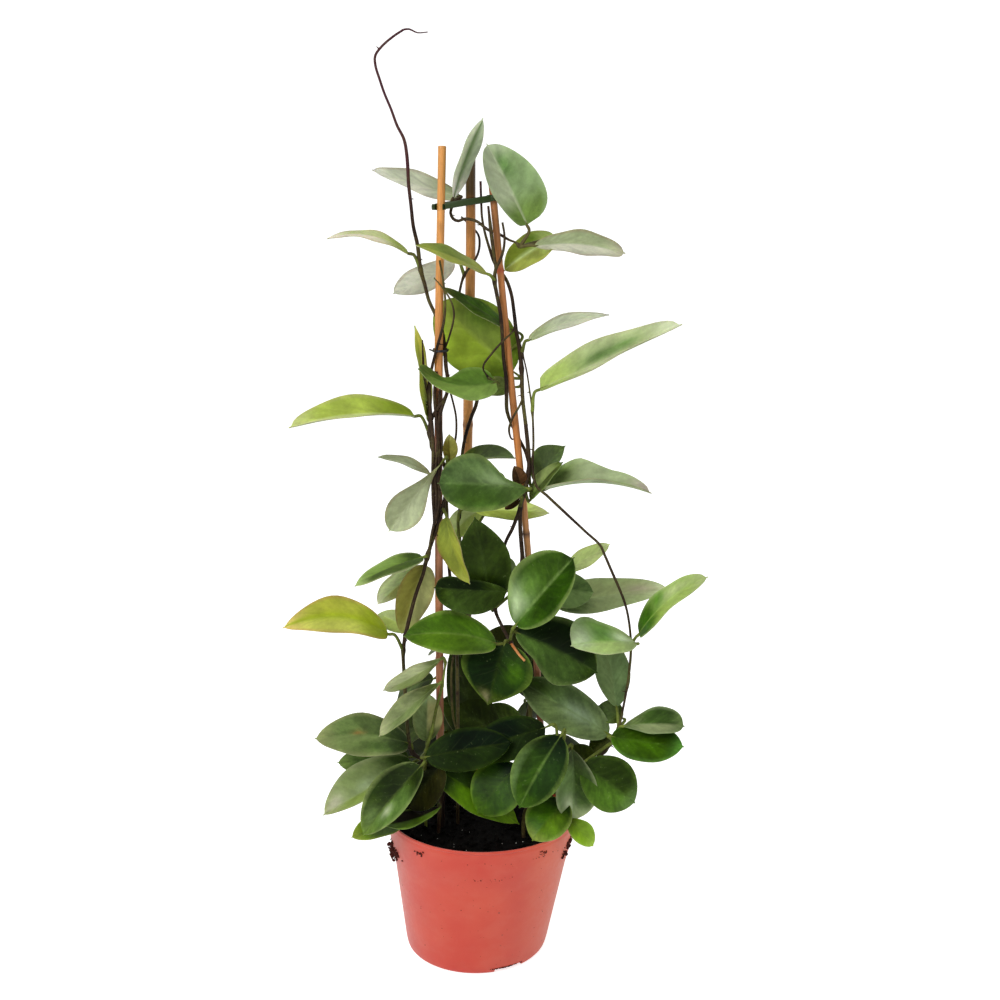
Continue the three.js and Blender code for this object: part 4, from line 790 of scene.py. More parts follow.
def side_veins(tree, place, along, across):
    """Side veins that leave the rib at a slant, about eight to a side: their strength and their slant."""
    wander = add(tree, "TexNoise", {"Vector": place}, Scale=of_size(16.67), Detail=2.0)["Fac"]
    slant = add(tree, "Math", (along, 8.0), operation="MULTIPLY")[0]
    slant = add(tree, "Math", (across, -1.7, slant), operation="MULTIPLY_ADD")[0]
    slant = add(tree, "Math", (wander, 0.9, slant), operation="MULTIPLY_ADD")[0]
    wave = add(tree, "Math", (slant, math.pi), operation="MULTIPLY")[0]
    wave = add(tree, "Math", (wave,), operation="SINE")[0]
    wave = add(tree, "Math", (wave,), operation="ABSOLUTE")[0]
    return smooth_steps(tree, (wave, 0.3, 0.0), (across, 0.9, 0.4), (wander, 0.35, 0.6)), slant


def waxy_leaf():
    """Hoya leaf: a thick cuticle gives the upper face a soft wax gloss; veins show as faint paler lines."""
    made, tree, surface, place = material(
        "waxy_leaf", 0.4, IOR=1.4, Subsurface_Weight=0.12, Subsurface_Radius=(0.0012, 0.002, 0.0006),
        Subsurface_Scale=1.0)
    paint = add(tree, "Attribute", attribute_name="tint")
    blade = add(tree, "SeparateXYZ", {"Vector": add(tree, "TexCoord")["UV"]})
    across = add(tree, "Math", (blade["X"], 2.0, -1.0), operation="MULTIPLY_ADD")[0]
    across = add(tree, "Math", (across,), operation="ABSOLUTE")[0]
    vein, slant = side_veins(tree, place, blade["Y"], across)
    # Uneven growth together with painted light and shade: soft patches 26 mm wide, streaks that run with the
    # side veins, and a 3 mm mottle.
    cloud = add(tree, "TexNoise", {"Vector": place}, Scale=of_size(26.32), Detail=2.0)["Fac"]
    height = add(tree, "SeparateXYZ", {"Vector": place})["Z"]
    height = add(tree, "Math", (height, 12.0), operation="MULTIPLY")[0]
    run = add(tree, "CombineXYZ", (slant, across, height))["Vector"]
    # The streaks are set against the veins, with 1.6 to each of them.
    streak = add(tree, "TexNoise", {"Vector": run}, Scale=1.6, Detail=3.0)["Fac"]
    fine = add(tree, "TexNoise", {"Vector": place}, Scale=of_size(3.03), Detail=5.0, Roughness=0.65)["Fac"]
    value = smooth_steps(tree, (cloud, 0.3, 0.7, 0.78, 1.2), (streak, 0.3, 0.7, 0.86, 1.14),
                         (fine, 0.3, 0.7, 0.9, 1.1))
    # The darker a leaf, the stronger the difference between its painted lit and its painted shaded patches.
    grey = add(tree, "RGBToBW", {"Color": paint["Color"]})["Val"]
    contrast = smooth_steps(tree, (grey, 0.02, 0.32, 1.7, 0.75))
    value = add(tree, "Math", (value, contrast), operation="POWER")[0]
    colour = add(tree, "VectorMath", {"Vector": paint["Color"], "Scale": value}, operation="SCALE")[0]
    pale = add(tree, "Mix", {0: 0.3, 6: colour, 7: colour_value("#A9BC7C")}, data_type="RGBA")[2]
    # Silvery flecks, about 2 mm apart.
    fleck = add(tree, "TexNoise", {"Vector": place}, Scale=of_size(1.923), Detail=2.0)["Fac"]
    flecks = smooth_steps(tree, (fleck, 0.62, 0.72, 0.0, 0.4), (streak, 0.5, 0.62))
    faint = add(tree, "Math", (vein, 0.07), operation="MULTIPLY")[0]
    marks = add(tree, "Math", (faint, flecks), operation="MAXIMUM")[0]
    height = add(tree, "Math", (vein, -0.15, cloud), operation="MULTIPLY_ADD")[0]
    wire(tree, surface, Base_Color=add(tree, "Mix", {0: marks, 6: colour, 7: pale}, data_type="RGBA")[2],
         Roughness=smooth_steps(tree, (paint["Alpha"], 0.0, 1.0, 0.6, 0.34), (cloud, 0.3, 0.7, 1.12, 0.9)),
         Specular_IOR_Level=smooth_steps(tree, (paint["Alpha"], 0.0, 1.0, 0.08, 0.36)),
         Normal=add(tree, "Bump", {"Height": height}, Strength=0.45, Distance=0.8 * MM)["Normal"])
    return made


def plant_stem(name, roughness, dark, middle, light, flush=(0.6, 0.7, 0.0)):
    """Skin of a vine: green where it is young, flushed purple-brown to near black, with paler scuffs.

    flush is the height in metres where the purple starts and is full, and how strong it is.
    """
    made, tree, surface, place = material(name, roughness, IOR=1.4, Specular_IOR_Level=0.2)
    patch = add(tree, "TexNoise", {"Vector": place}, Scale=of_size(35.7), Detail=3.0)["Fac"]
    scuff = add(tree, "TexNoise", {"Vector": place}, Scale=of_size(2.381), Detail=3.0)["Fac"]
    broad = add(tree, "Math", (patch, 0.75), operation="MULTIPLY")[0]
    uneven = add(tree, "Math", (scuff, 0.3, broad), operation="MULTIPLY_ADD")[0]
    skin = add(tree, "ValToRGB", (uneven,), stops=((0.36, dark), (0.5, middle), (0.66, light)))["Color"]
    low, high, amount = flush
    height = add(tree, "SeparateXYZ", {"Vector": place})["Z"]
    purple = smooth_steps(tree, (height, low, high, 0.0, amount))
    skin = add(tree, "Mix", {0: purple, 6: skin, 7: colour_value("#47182A")}, data_type="RGBA")[2]
    wire(tree, surface, Base_Color=skin,
         Normal=add(tree, "Bump", {"Height": scuff}, Strength=0.4, Distance=0.4 * MM)["Normal"])
    return made


def bamboo():
    """Bamboo culm: fine fibres run along it under a thin satin skin, with darker rings at its nodes."""
    made, tree, surface, place = material("bamboo_culm", 0.42, IOR=1.5)
    paint = add(tree, "Attribute", attribute_name="tint")["Color"]
    # Real fibres are about 0.2 mm wide; these are drawn three times as coarse, so that they show.
    upright = add(tree, "Mapping", {"Vector": place}, Scale=(1.0, 1.0, 0.02))["Vector"]
    fibre = add(tree, "TexNoise", {"Vector": upright}, Scale=of_size(0.667), Detail=3.0)["Fac"]
    stain = add(tree, "TexNoise", {"Vector": place}, Scale=of_size(22.22), Detail=4.0)["Fac"]
    value = smooth_steps(tree, (fibre, 0.3, 0.7, 0.8, 1.14), (stain, 0.3, 0.7, 0.86, 1.1))
    colour = add(tree, "VectorMath", {"Vector": paint, "Scale": value}, operation="SCALE")[0]
    wire(tree, surface, Base_Color=colour,
         Normal=add(tree, "Bump", {"Height": fibre}, Strength=0.3, Distance=0.3 * MM)["Normal"])
    return made


def nursery_plastic():
    """Thin polypropylene, moulded: terracotta red, a little milky, with dust and a few scuffs.

    A bloom of fine dust, as sheen, pales the wall where it turns away.
    """
    made, tree, surface, place = material(
        "nursery_polypropylene", 0.42, IOR=1.49, Sheen_Weight=0.35, Sheen_Roughness=0.45,
        Subsurface_Weight=0.06, Subsurface_Radius=(0.003, 0.001, 0.0008), Subsurface_Scale=1.0)
    cloud = add(tree, "TexNoise", {"Vector": place}, Scale=of_size(45.5), Detail=3.0)["Fac"]
    # Wiped streaks, longer round the pot than they are tall.
    smear = add(tree, "Mapping", {"Vector": place}, Scale=(0.6, 0.6, 1.0))["Vector"]
    streak = add(tree, "TexNoise", {"Vector": smear}, Scale=of_size(14.3), Detail=4.0)["Fac"]
    wiped = smooth_steps(tree, (streak, 0.42, 0.68, 0.0, 0.12))
    # Dust is far finer than 4 mm; it is drawn as the patches that it settles in.
    dust = add(tree, "TexNoise", {"Vector": place}, Scale=of_size(3.85), Detail=5.0, Roughness=0.7)["Fac"]
    settled = smooth_steps(tree, (dust, 0.52, 0.8, 0.0, 0.2))
    film = add(tree, "Math", (wiped, settled), operation="MAXIMUM")[0]
    # Painted light: the right side is mixed towards a brighter orange, standing in for more light on that
    # side.
    right = add(tree, "SeparateXYZ", {"Vector": place})["X"]
    painted_right_light = smooth_steps(tree, (right, 0.02, 0.075, 0.0, 0.55))
    speck = add(tree, "TexVoronoi", {"Vector": place}, Scale=of_size(10.53))["Distance"]
    crumbs = smooth_steps(tree, (speck, 0.1, 0.05), (cloud, 0.5, 0.62, 0.0, 0.55))
    colour = add(tree, "ValToRGB", (cloud,), stops=((0.3, "#CB3A27"), (0.7, "#D44E35")))["Color"]
    for mask, code in ((film, "#D97C62"), (painted_right_light, "#F4703C"), (crumbs, "#5A2A20")):
        colour = add(tree, "Mix", {0: mask, 6: colour, 7: colour_value(code)}, data_type="RGBA")[2]
    wire(tree, surface, Base_Color=colour, Roughness=smooth_steps(tree, (dust, 0.3, 0.7, 0.36, 0.52)),
         Normal=add(tree, "Bump", {"Height": cloud}, Strength=0.25, Distance=1.5 * MM)["Normal"])
    return made


def potting_mix():
    """Damp peat: near black, crumbly and dull, with brown fibres."""
    made, tree, surface, place = material("damp_peat", 0.9, IOR=1.4, Specular_IOR_Level=0.1)
    crumb = add(tree, "TexNoise", {"Vector": place}, Scale=of_size(2.381), Detail=6.0, Roughness=0.75)["Fac"]
    stops = ((0.45, "#040302"), (0.62, "#0C0705"), (0.78, "#2C1D14"))
    wire(tree, surface, Base_Color=add(tree, "ValToRGB", (crumb,), stops)["Color"],
         Normal=add(tree, "Bump", {"Height": crumb}, Strength=0.9, Distance=1.6 * MM)["Normal"])
    return made


def plain(name, code, roughness, grain, strength, **shader):
    """A single-coloured finish with a fine grain of its own: moulded plastic, coated wire, perlite.

    grain is its width in mm, drawn coarser than the real one so that it shows.
    """
    made, tree, surface, place = material(name, roughness, **shader)
    speck = add(tree, "TexNoise", {"Vector": place}, Scale=of_size(grain), Detail=3.0)["Fac"]
    low, high = ((*np.clip(srgb(code) * (1 + sign * strength), 0, 1), 1.0) for sign in (-1, 1))
    wire(tree, surface, Base_Color=add(tree, "Mix", {0: speck, 6: low, 7: high}, data_type="RGBA")[2],
         Normal=add(tree, "Bump", {"Height": speck}, Strength=0.2, Distance=0.3 * MM)["Normal"])
    return made


# Leaves

def leaf_blank():
    """A flat leaf to copy: a grid with its own UV map, made a slab."""
    deselect()
    bpy.ops.mesh.primitive_grid_add(x_subdivisions=LEAF_GRID[0], y_subdivisions=LEAF_GRID[1], size=2,
                                    location=(0, 0, 0))
    blank = bpy.context.object
    modify(blank, "SOLIDIFY", thickness=0.02, offset=0, use_rim=True)
    return blank


def half_width(s, peak, neck, tip, drip):
    """Half the width at a share s of the length: 1 at the peak. A small neck or tip makes that end blunt."""
    k = math.log(0.5) / math.log(peak)
    u = np.clip(s / 0.975, 0, 1) ** k
    outline = np.sin(np.pi * u) ** np.where(u > 0.5, tip, neck)
    return np.maximum(outline, drip * fade(s, 0.5, 0.9) * np.clip((1 - s) / 0.045, 0, 1))


def own_edge(s, shares):
    """How much wider than usual one half is, from a few (share of the length, factor) pairs."""
    return np.interp(s, [at for at, _ in shares], [factor for _, factor in shares])


def leaf_frame(base, tip, turn):
    """The directions of a blade: along it, out of its upper side and across it."""
    along = unit(tip - base)
    to_eye = unit(EYE - (base + tip) / 2)
    to_eye = unit(to_eye - along * np.dot(to_eye, along))
    up = np.cross(along, to_eye)
    if leans_up(up) < 0:
        up = -up
    a = math.radians(turn)
    out = to_eye * math.cos(a) + up * math.sin(a)
    return along, out, np.cross(out, along)


def leans_up(direction):
    """Above 0 where a direction points up, or to the right where it is about level."""
    return direction[2] + 0.2 * direction[0]


def leaf_colours(look, s, t, high_side, seed, spots=()):
    """Linear colours and gloss over a blade. A spot, mostly a painted highlight or painted shade, is its
    share along and across, two spreads, a colour.
    """
    draw = random.Random(seed)
    high, low, edge = (srgb(look[key]) for key in ("high", "low", "edge"))
    rib = srgb(look["rib"]) if "rib" in look else 1.12 * (high + low) / 2 + PALE_RIB
    # The higher and lower halves: painted light and shade, after how each half catches the light.
    colour = blend(low, high, fade(t * high_side, -0.05, 0.05))
    if "base" in look:
        colour = blend(colour, srgb(look["base"]), 1 - fade(s, 0.12, 0.42))
    if "tip" in look:
        colour = blend(colour, srgb(look["tip"]), fade(s, 0.72, 0.98))
    # Spots: mostly painted highlights and painted shade, with a few marks of the leaf's own.
    for at, side, long, wide, code in spots:
        colour = blend(colour, srgb(code), 0.9 * bell(s - at, long) * bell(t * high_side - side, wide))
    strong = 0.85 if "strip" in look else 0.45
    colour = blend(colour, rib, bell(t, look.get("strip", RIB_STRIP)) * strong)
    colour = blend(colour, edge, 0.5 * fade(np.abs(t), 0.955, 1.0))
    colour = np.maximum(colour * draw.uniform(0.96, 1.04) - WAX_LIGHT, 0.001) * PIGMENT
    return np.hstack([colour, np.full((len(s), 1), look["gloss"])])


def blade_rise(s, t, half, length, bow, fold, draw):
    """How far a blade stands out of its plane: its arch, its fold, a rippled margin and a sunken rib."""
    waves = draw.uniform(1.2, 2.0)
    phase = draw.uniform(0, 6.28)
    ripple = RIPPLE * length * np.sin(waves * 2 * np.pi * s + phase + 1.4 * np.sign(t)) * np.abs(t) ** 2.5
    ripple *= np.sin(np.pi * s)
    groove = -RIB_DEPTH * bell(t, 0.09) * np.sin(np.pi * np.clip(s, 0, 1)) ** 0.5
    return bow * 4 * s * (1 - s) + half * math.sin(fold) * np.abs(t) ** 1.3 + ripple + groove


def make_leaf(blank, reading, seed):
    """A copy of the blank bent to one leaf's reading, with its colours."""
    _, base_at, tip_at, width, turn, bow, fold, peak, look_name, own = reading
    base, tip = seen(base_at), seen(tip_at)
    _, out, across = leaf_frame(base, tip, turn)
    mesh = blank.data.copy()
    flat = corners(mesh) * MM
    side = np.sign(flat[:, 2])
    # t runs across, closer set at the rib, and s along, closer set at both ends.
    t = np.sign(flat[:, 0]) * np.abs(flat[:, 0]) ** 1.35
    s = (flat[:, 1] + 1) / 2
    s = 0.35 * s + 0.65 * (1 - np.cos(np.pi * s)) / 2
    high_side = 1 if leans_up(across) > 0 else -1
    half = 0.5 * width * half_width(s, peak, own.get("neck", BASE_POINT), own.get("tip", TIP_POINT),
                                    own.get("drip", DRIP_TIP))
    low_edge, high_edge = (own_edge(s, own.get(which, ((0, 1),))) for which in ("low", "high"))
    half = np.maximum(half * np.where(t * high_side > 0, high_edge, low_edge), LEAF_NARROWEST)
    fold = math.radians(fold)
    rise = blade_rise(s, t, half, np.linalg.norm(tip - base), bow, fold, random.Random(seed))
    rise = rise + side * (LEAF_THICK + (LEAF_EDGE - LEAF_THICK) * np.abs(t) ** 2) / 2
    across_by = half * math.cos(fold) * t
    set_corners(mesh, base + np.outer(s, tip - base) + np.outer(rise, out) + np.outer(across_by, across))
    face = LOOKS[look_name]
    viewer_side = 1 if turn < 90 else -1
    other = OTHER_TOP if face["gloss"] < DULL else OTHER_UNDER
    seen_face = leaf_colours(face, s, t, high_side, seed, own.get("spots", ()))
    far_face = leaf_colours(other, s, t, high_side, seed)
    tint(mesh, np.where((side == viewer_side)[:, None], seen_face, far_face))
    return placed("leaf", mesh)


# Stems and stalks

def tubes(name, runs, materials):
    """One object of round tubes. Each run is its points in mm, a radius for each point, and its material."""
    curve = bpy.data.curves.new(name, "CURVE")
    curve.dimensions = "3D"
    curve.bevel_depth = 1.0
    curve.bevel_resolution = 2
    curve.use_fill_caps = True
    for finish in materials:
        curve.materials.append(finish)
    for points, radii, index in runs:
        spline = curve.splines.new("POLY")
        spline.points.add(len(points) - 1)
        spline.material_index = index
        for place, point, radius in zip(spline.points, points, radii):
            place.co = (*(np.asarray(point) * MM), 1.0)
            place.radius = radius * MM
    take(placed(name, curve))
    bpy.ops.object.convert(target="MESH")
    made = bpy.context.object
    shade(made, 50)
    return made


def stem_run(stem):
    _, root, path = stem
    points = [seen(p) for p in path]
    if root:
        points[:0] = [np.array([*root, SOIL_TOP - deep]) for deep in (44.0, 10.0)]
    return smooth_run(points, STEM_STEP)


def swell(points, radius, joints, draw):
    """Radii along a stem: thinner towards its young end, a slow wander and a swelling at each joint."""
    points = np.array(points)
    steps = np.arange(len(points))
    left = (len(points) - 1 - steps) * STEM_STEP
    slim = 0.93 - 0.38 * (1 - fade(left, 0, max(20.0, 0.25 * left[0])))
    radii = radius * slim * (1 + 0.06 * np.sin(steps * 0.21 + draw.uniform(0, 6)))
    for joint in joints:
        gap = np.linalg.norm(points - joint, axis=1)
        if gap.min() < 3:
            radii += JOINT_SWELL * bell(gap, 2.6)
    return np.minimum(radii, radius + JOINT_SWELL)


def stalk_run(reading, places):
    """The stalk from the nearest point of a stem into the blade's rib."""
    joint_at, base_at, tip_at, _, turn, bow = reading[:6]
    own = reading[-1]
    base, tip = seen(base_at), seen(tip_at)
    along, out, _ = leaf_frame(base, tip, turn)
    joint = places[np.argmin(np.linalg.norm(places - seen(joint_at), axis=1))]
    bend = base - along * own.get("bend", STALK_BEND) * np.linalg.norm(joint - base)
    inside = base + (tip - base) * STALK_INTO + out * bow * 4 * STALK_INTO * (1 - STALK_INTO)
    points = smooth_run([joint, bend, base, inside], 1.5)
    share = np.linspace(0, 1, len(points))
    radii = STALK_R * (1.15 - 0.2 * np.sin(np.pi * share) - 0.75 * fade(share, 0.7, 1.0))
    return joint, points, radii


def air_roots(points, radius, draw):
    """Short stubs of the clinging roots that a climbing stem puts out."""
    made = []
    for i in range(6, len(points) - 6, ROOT_SPACING):
        if draw.random() < 0.45:
            continue
        along = unit(points[i + 1] - points[i])
        out = unit(np.cross(along, [draw.uniform(-1, 1) for _ in range(3)]))
        length = draw.uniform(1.5, 4.5)
        start = points[i] + out * radius * 0.6
        middle = start + out * length * 0.6
        end = start + out * length + np.array([0, 0, draw.uniform(-1.2, 0.6)])
        made.append(([start, middle, end], [0.5, 0.38, 0.12], 0))
    return made


def foliage(node, number, blank, leaf_finish, skins):
    """A node's leaves in one piece and its stems and stalks in another."""
    draw = random.Random(100 + number)
    paths = [(stem[0], stem_run(stem)) for stem in STEMS[node]]
    places = np.array([p for _, run in paths for p in run])
    blades, runs, joints = [], [], []
    for i, reading in enumerate(LEAVES[node]):
        joint, points, radii = stalk_run(reading, places)
        runs.append((points, radii, 1))
        joints.append(joint)
        blades.append(make_leaf(blank, reading, number * 100 + i))
    skin = 1 if node in GREEN_SHOOTS else 0
    for index, (radius, points) in enumerate(paths):
        radii = swell(points, radius, joints, draw)
        dry = DRY_END if (node, index) == DRY_SHOOT else 0
        green = len(points) - dry
        runs.append((points[:green], radii[:green], skin))
        if dry:
            runs.append((points[green - 1:], radii[green - 1:] * 1.1, 2))
        if radius > 1:
            runs.extend(air_roots(points, radius, draw))
    leaves = join(blades, node + "_leaves")
    coat(leaves, leaf_finish)
    shade(leaves, 60)
    dress(leaves, "foliage", node)
    dress(tubes(node + "_stems", runs, skins), "foliage", node)


# Canes

def cane(node, finish):
    """A culm with its swollen nodes and a cut end."""
    radius, path = CANES[node]
    culm, rings = CANE_LOOKS[node]["culm"], CANE_LOOKS[node]["rings"]
    draw = random.Random(node)
    points = [p for p in smooth_run(path, 2.0) if p[2] > 40] + [np.array(path[-1], float)]
    heights = np.array([p[2] for p in points])
    radii = radius - 0.05 + 0.12 * np.sin(heights * 0.031 + draw.uniform(0, 6))
    for at, _, _ in rings:
        radii += 0.4 * bell(heights - at, 2.4) - 0.18 * bell(heights - at - 4, 1.6)
    radii = np.minimum(radii, radius + 0.4)
    points.insert(1, points[0] + unit(points[1] - points[0]) * 0.3)
    radii = np.concatenate([[radius - 0.3], radii])
    made = tubes(node + "_culm", [(points, radii, 0)], (finish,))
    z = corners(made.data)[:, 2]
    # The culm colours, painted shade included, follow the height.
    stops = np.array([srgb(code) for _, code in culm])
    colour = np.stack([np.interp(z, [at for at, _ in culm], channel) for channel in stops.T], axis=1)
    for at, spread, code in rings:
        colour = blend(colour, srgb(code), 0.9 * bell(z - at, spread))
    tint(made.data, np.hstack([colour, np.ones((len(z), 1))]))
    dress(made, "cane", node)


# Pot and soil

def turned(name, profile, steps):
    """A closed profile of (radius, height) turned about the upright axis."""
    deselect()
    bpy.ops.mesh.primitive_circle_add(vertices=len(profile), radius=1, location=(0, 0, 0))
    made = bpy.context.object
    made.name = name
    for vertex, (r, z) in zip(made.data.vertices, profile):
        vertex.co = (r * MM, 0, z * MM)
    modify(made, "SCREW", axis="Z", angle=math.tau, steps=steps, render_steps=steps,
           use_merge_vertices=True, merge_threshold=1e-6, use_normal_calculate=True)
    take(made)
    bpy.ops.object.mode_set(mode="EDIT")
    bpy.ops.mesh.select_all(action="SELECT")
    bpy.ops.mesh.normals_make_consistent(inside=False)
    bpy.ops.object.mode_set(mode="OBJECT")
    return made


def askew(points):
    """Points about the upright axis moved to where the leaning pot has them."""
    points = np.asarray(points, float)
    return points + POT_AT + np.outer(points[:, 2] * POT_LEAN, [1, 0, 0])


def wall_at(z):
    return POT_FOOT_R + (POT_TOP_R - POT_FOOT_R) * z / POT_HEIGHT


def rounded(outline, count):
    """A closed outline of (radius, height, size); a corner that has a size is rounded by `count` points."""
    made = []
    spots = [np.array(corner[:2], float) for corner in outline]
    for i, (here, (r, z, size)) in enumerate(zip(spots, outline)):
        if not size:
            made.append((r, z))
            continue
        before = unit(spots[i - 1] - here) * size
        after = unit(spots[(i + 1) % len(spots)] - here) * size
        for k in range(count + 1):
            t = k / count
            made.append(tuple(here + before * (1 - t) ** 2 + after * t ** 2))
    return made


def pot(finish):
    """A thin nursery pot: a rolled lip, a wall that widens gently below it and a slot in its foot."""
    top = POT_TOP_R + LIP_OUT
    # Each corner: its radius, its height and how much it is rounded.
    outline = [
        (0.001, 0.4, 0), (50, 0.4, 0), (52, 0.0, 0), (wall_at(0) - 0.4, 0.6, 2.2), (wall_at(7), 7, 2.6),
        (wall_at(WIDEN_LOW), WIDEN_LOW, 5), (wall_at(WIDEN_HIGH) + WIDEN_OUT, WIDEN_HIGH, 5),
        (top - 0.9, POT_HEIGHT - 5, 0.5), (top - 0.9, POT_HEIGHT - 2.4, 0.3), (top, POT_HEIGHT - 2, 0.4),
        (top, POT_HEIGHT, 0.4), (top - POT_WALL, POT_HEIGHT, 0.5),
        (wall_at(LIP_FOOT) - POT_WALL, LIP_FOOT - 1, 0.6), (wall_at(7) - POT_WALL, 7.6, 2), (51, 1.9, 1),
        (0.001, 1.9, 0),
    ]
    made = turned("pot_wall", rounded(outline, 4), POT_STEPS)
    set_corners(made.data, askew(corners(made.data)))
    slot = block(SLOT_SIZE, SLOT_AT, SLOT_TURN)
    modify(slot, "BEVEL", width=0.9 * MM, segments=3)
    cut(made, slot)
    coat(made, finish)
    shade(made, 35)
    dress(made, "pot", "pot")


def crumb_blank():
    deselect()
    bpy.ops.mesh.primitive_ico_sphere_add(subdivisions=1, radius=MM, location=(0, 0, 0))
    return bpy.context.object


def scatter(places, sizes, draw, name):
    """A crumb at each place, each with its own mesh, turned and squashed by chance."""
    blank = crumb_blank()
    shape = corners(blank.data)
    made = []
    for place, size in zip(places, sizes):
        mesh = blank.data.copy()
        angle = draw.uniform(0, 6.28)
        turn = Matrix.Rotation(angle, 3, Vector([draw.gauss(0, 1) for _ in range(3)]).normalized())
        squash = np.array([draw.uniform(0.6, 1.3), draw.uniform(0.6, 1.3), draw.uniform(0.5, 1.0)])
        lumps = np.array([draw.uniform(0.75, 1.25) for _ in shape])[:, None]
        set_corners(mesh, (shape * lumps * squash * size) @ np.array(turn) + place)
        made.append(placed(name, mesh))
    bpy.data.objects.remove(blank)
    return join(made, name)


def soil(finish, perlite):
    """Peat filled to just under the lip: a lumpy top with loose clods and a few grains of perlite."""
    edge = wall_at(SOIL_TOP) - 1.5
    inner = edge - 3
    profile = [(0.001, 2.4), (50, 2.4), (wall_at(8) - 2.1, 8), (wall_at(105) - 2, 105),
               (inner, SOIL_TOP - 1.4)]
    for i in range(1, SOIL_RINGS):
        share = i / SOIL_RINGS
        dome = 2.2 * math.sin(share * math.pi / 2)
        profile.append((inner * (1 - share), SOIL_TOP - 1.1 + dome))
    made = turned("potting_mix", profile + [(0.001, SOIL_TOP + 1.3)], SOIL_STEPS)
    points = askew(corners(made.data))
    for i in np.nonzero(points[:, 2] > SOIL_TOP - 1.3)[0]:
        x, y, _ = points[i]
        broad = noise.noise(Vector((x * 0.16, y * 0.16, 3)))
        fine = noise.noise(Vector((x * 0.45, y * 0.45, 7)))
        points[i, 2] += 1.3 * (broad + 0.6 * fine) - 0.4
    set_corners(made.data, points)
    draw = random.Random(11)
    places, sizes = [], []
    for _ in range(CLODS):
        r = (edge - 3.5) * math.sqrt(draw.random())
        a = draw.uniform(0, math.tau)
        places.append(np.array([r * math.cos(a), r * math.sin(a), SOIL_TOP + 0.6 + draw.uniform(-0.6, 0.5)]))
        sizes.append(draw.uniform(0.6, 2.3))
    clods = scatter(askew(places), sizes, draw, "clods")
    grains = [(draw.uniform(-60, 50), draw.uniform(-68, -20), SOIL_TOP + 1.4) for _ in range(PERLITE_GRAINS)]
    grains = [g for g in grains if math.hypot(g[0], g[1]) < edge - 4]
    white = scatter(askew(grains), [draw.uniform(0.2, 0.55) for _ in grains], draw, "perlite")
    made = join([made, clods], "potting_mix")
    for piece, look_of in ((made, finish), (white, perlite)):
        coat(piece, look_of)
        dress(piece, "soil", "soil")


def on_wall(angle, z, lift=0.0):
    """A point of the pot's outside: degrees round from the front, to the right, and a height."""
    out = np.interp(z, (WIDEN_LOW, WIDEN_HIGH, POT_HEIGHT), (0, WIDEN_OUT, LIP_OUT))
    r = wall_at(z) + lift + out
    a = math.radians(angle)
    return askew([[r * math.sin(a), -r * math.cos(a), z]])[0]


def stuck_peat_and_slot_shade(finish):
    """Damp peat that sticks to the wall under the rim, single crumbs lower down, and a row of dark crumbs
    along the top of the drainage slot as painted shade.
    """
    draw = random.Random(23)
    places, sizes = [], []
    for count, angle, z, wide, tall, small, large, out in PEAT_AND_SLOT_SHADE_PATCHES:
        for _ in range(count):
            places.append(on_wall(draw.gauss(angle, wide), min(draw.gauss(z, tall), POT_HEIGHT - 1),
                                  0.2 + draw.uniform(0, out)))
            sizes.append(draw.uniform(small, large))
    crumbs = scatter(places, sizes, draw, "stuck_peat_and_slot_shade")
    coat(crumbs, finish)
    dress(crumbs, "soil")


# Clip and tie

def eye_ring(place, radius, gap):
    """An eye of the clip; with a gap it is open towards the viewer, where the cane snaps in."""
    inner, outer, half = radius + CLIP_GAP, radius + CLIP_WALL, CLIP_TALL / 2
    profile = [(inner, -half, 0), (outer, -half, 0.6), (outer + CLIP_GAP, 0, 0), (outer, half, 0.6),
               (inner, half, 0)]
    made = turned("eye", rounded(profile, 3), 32)
    if gap:
        cut(made, block((1.8 * radius, 10, 12), (0, -6, 0)))
    made.location = Vector(place) * MM
    settle(made)
    return made


def bar(start, end, offset):
    """One outer bar of the clip, bevelled, between two eyes."""
    along = unit(end - start)
    out = -unit(np.cross([0, 0, 1], along))
    middle = (start + end) / 2 + out * offset
    made = block((np.linalg.norm(end - start), CLIP_BAR_WALL, CLIP_BAR_TALL))
    modify(made, "BEVEL", width=0.5 * MM, segments=2)
    turn = Matrix((along, -out, np.cross(along, -out))).transposed().to_4x4()
    made.matrix_world = Matrix.Translation(Vector(middle) * MM) @ turn
    settle(made)
    return made


def clip(finish):
    """The plastic clip: an eye round each cane and a bar between each two eyes."""
    names = list(CLIP_CORNERS)
    radii = [CANES[name][0] for name in names]
    spots = [np.array(CLIP_CORNERS[name]) for name in names]
    pieces = [eye_ring(spot, radius, name == "cane_left") for name, spot, radius in zip(names, spots, radii)]
    for i in range(3):
        j = (i + 1) % 3
        start = spots[i] + unit(spots[j] - spots[i]) * (OPEN_EYE_GAP if names[i] == "cane_left" else 0)
        pieces.append(bar(start, spots[j], min(radii[i], radii[j]) + 0.8))
    made = join(pieces, "clip_ring")
    coat(made, finish)
    shade(made, 35)
    dress(made, "clip", "cane_clip")


def tie(finish):
    """Coated wire, two snug turns round the cane and the stems, with a short end left standing."""
    wide, deep = TIE_RADII
    loop = []
    for i in range(2 * TIE_STEPS + 1):
        a = math.tau * (i / TIE_STEPS + TIE_START)
        rise = TIE_CLIMB * (i / (2 * TIE_STEPS) - 0.5)
        loop.append(TIE_AT + np.array([wide * math.cos(a), deep * math.sin(a), rise]))
    loop.insert(0, loop[0] + TIE_END)
    made = tubes("wire_loop", [(loop, [TIE_WIRE_R] * len(loop), 0)], (finish,))
    dress(made, "tie", "cane_tie")


# Setting

def lamp(name, place, size, watts):
    light = bpy.data.lights.new(name, "AREA")
    light.energy = watts
    light.size = size
    made = placed(name, light)
    made.location = place
    made.rotation_euler = (Vector(LAMP_AIM) - Vector(place)).to_track_quat("-Z", "Y").to_euler()


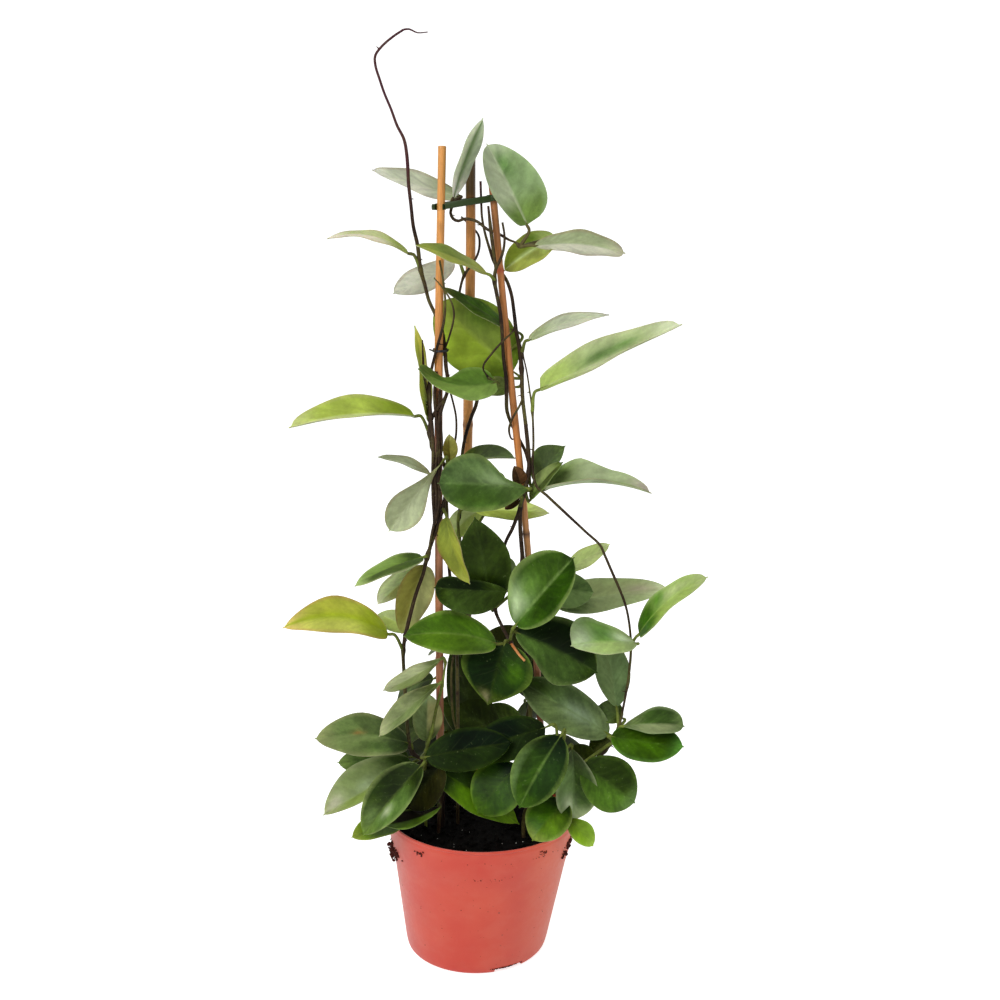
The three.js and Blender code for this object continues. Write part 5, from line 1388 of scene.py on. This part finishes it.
def white_floor():
    """A white floor; Is Camera Ray has it shine brighter for the camera than for the plant."""
    deselect()
    bpy.ops.mesh.primitive_plane_add(size=FLOOR_SIZE, location=(0, 0, 0))
    floor = bpy.context.object
    floor.name = "floor"
    made, tree, surface, _ = material("studio_floor", 0.9, Specular_IOR_Level=0.0)
    camera_ray = add(tree, "LightPath")["Is Camera Ray"]
    wire(tree, surface, Base_Color=(0.9, 0.9, 0.9, 1), Emission_Color=(1, 1, 1, 1),
         Emission_Strength=smooth_steps(tree, (camera_ray, 0.0, 1.0, *FLOOR_LIGHT)))
    coat(floor, made)


def surroundings():
    """White surroundings: bright behind the plant and dim on the viewer's side."""
    world = bpy.data.worlds.new("surroundings")
    bpy.context.scene.world = world
    world.use_nodes = True
    tree = world.node_tree
    backdrop = tree.nodes["Background"]
    way = add(tree, "SeparateXYZ", {"Vector": add(tree, "TexCoord")["Generated"]})["Y"]
    room = smooth_steps(tree, (way, -0.3, 0.6, ROOM_LIGHT, BACKDROP_LIGHT))
    camera_ray = add(tree, "LightPath")["Is Camera Ray"]
    bright = add(tree, "Mix", {"Factor": camera_ray, "A": room, "B": BACKDROP_SEEN})["Result"]
    wire(tree, backdrop, Color=(1, 1, 1, 1), Strength=bright)
    bpy.context.scene.view_settings.view_transform = "Standard"


def camera():
    data = bpy.data.cameras.new("camera")
    data.lens = LENS
    data.sensor_width = SENSOR
    made = placed("camera", data)
    made.location = Vector(EYE) * MM
    made.rotation_euler = (math.radians(90 - LOOK_DOWN), 0, 0)
    bpy.context.scene.camera = made


def build():
    leaf_finish = waxy_leaf()
    skins = [
        plant_stem("vine_skin", 0.5, "#1C130E", "#3A2B1E", "#5C582E", (0.58, 0.64, 0.75)),
        plant_stem("leaf_stalk", 0.5, "#3A361C", "#5C6628", "#7E8C3E", (0.555, 0.575, 0.65)),
        plant_stem("dried_end", 0.6, "#7A4424", "#B8703C", "#D69A62"),
    ]
    blank = leaf_blank()
    for number, node in enumerate(STEMS):
        foliage(node, number, blank, leaf_finish, skins)
    bpy.data.objects.remove(blank)
    culm = bamboo()
    for node in CANES:
        cane(node, culm)
    pot(nursery_plastic())
    # Perlite is glass blown up by heat: off-white, dull and full of pores.
    soil(potting_mix(), plain("perlite", "#B9B8AE", 0.8, 1.11, 0.15))
    # Peat that has dried on the plastic takes on some of its red; the same finish colours the painted shade
    # along the slot.
    stuck_peat_and_slot_shade(plain("stained_peat", "#4A1E18", 0.8, 1.43, 0.5, Specular_IOR_Level=0.2))
    # Moulded polypropylene has a satin skin, and the wire's drawn plastic coat is a little glossier.
    clip(plain("clip_polypropylene", "#2A3C18", 0.42, 2.0, 0.15, Specular_IOR_Level=0.3))
    tie(plain("coated_wire", "#1E1B22", 0.4, 1.43, 0.2))
    white_floor()
    for name, (place, size, watts) in LAMPS.items():
        lamp(name, place, size, watts)
    surroundings()
    camera()


build()
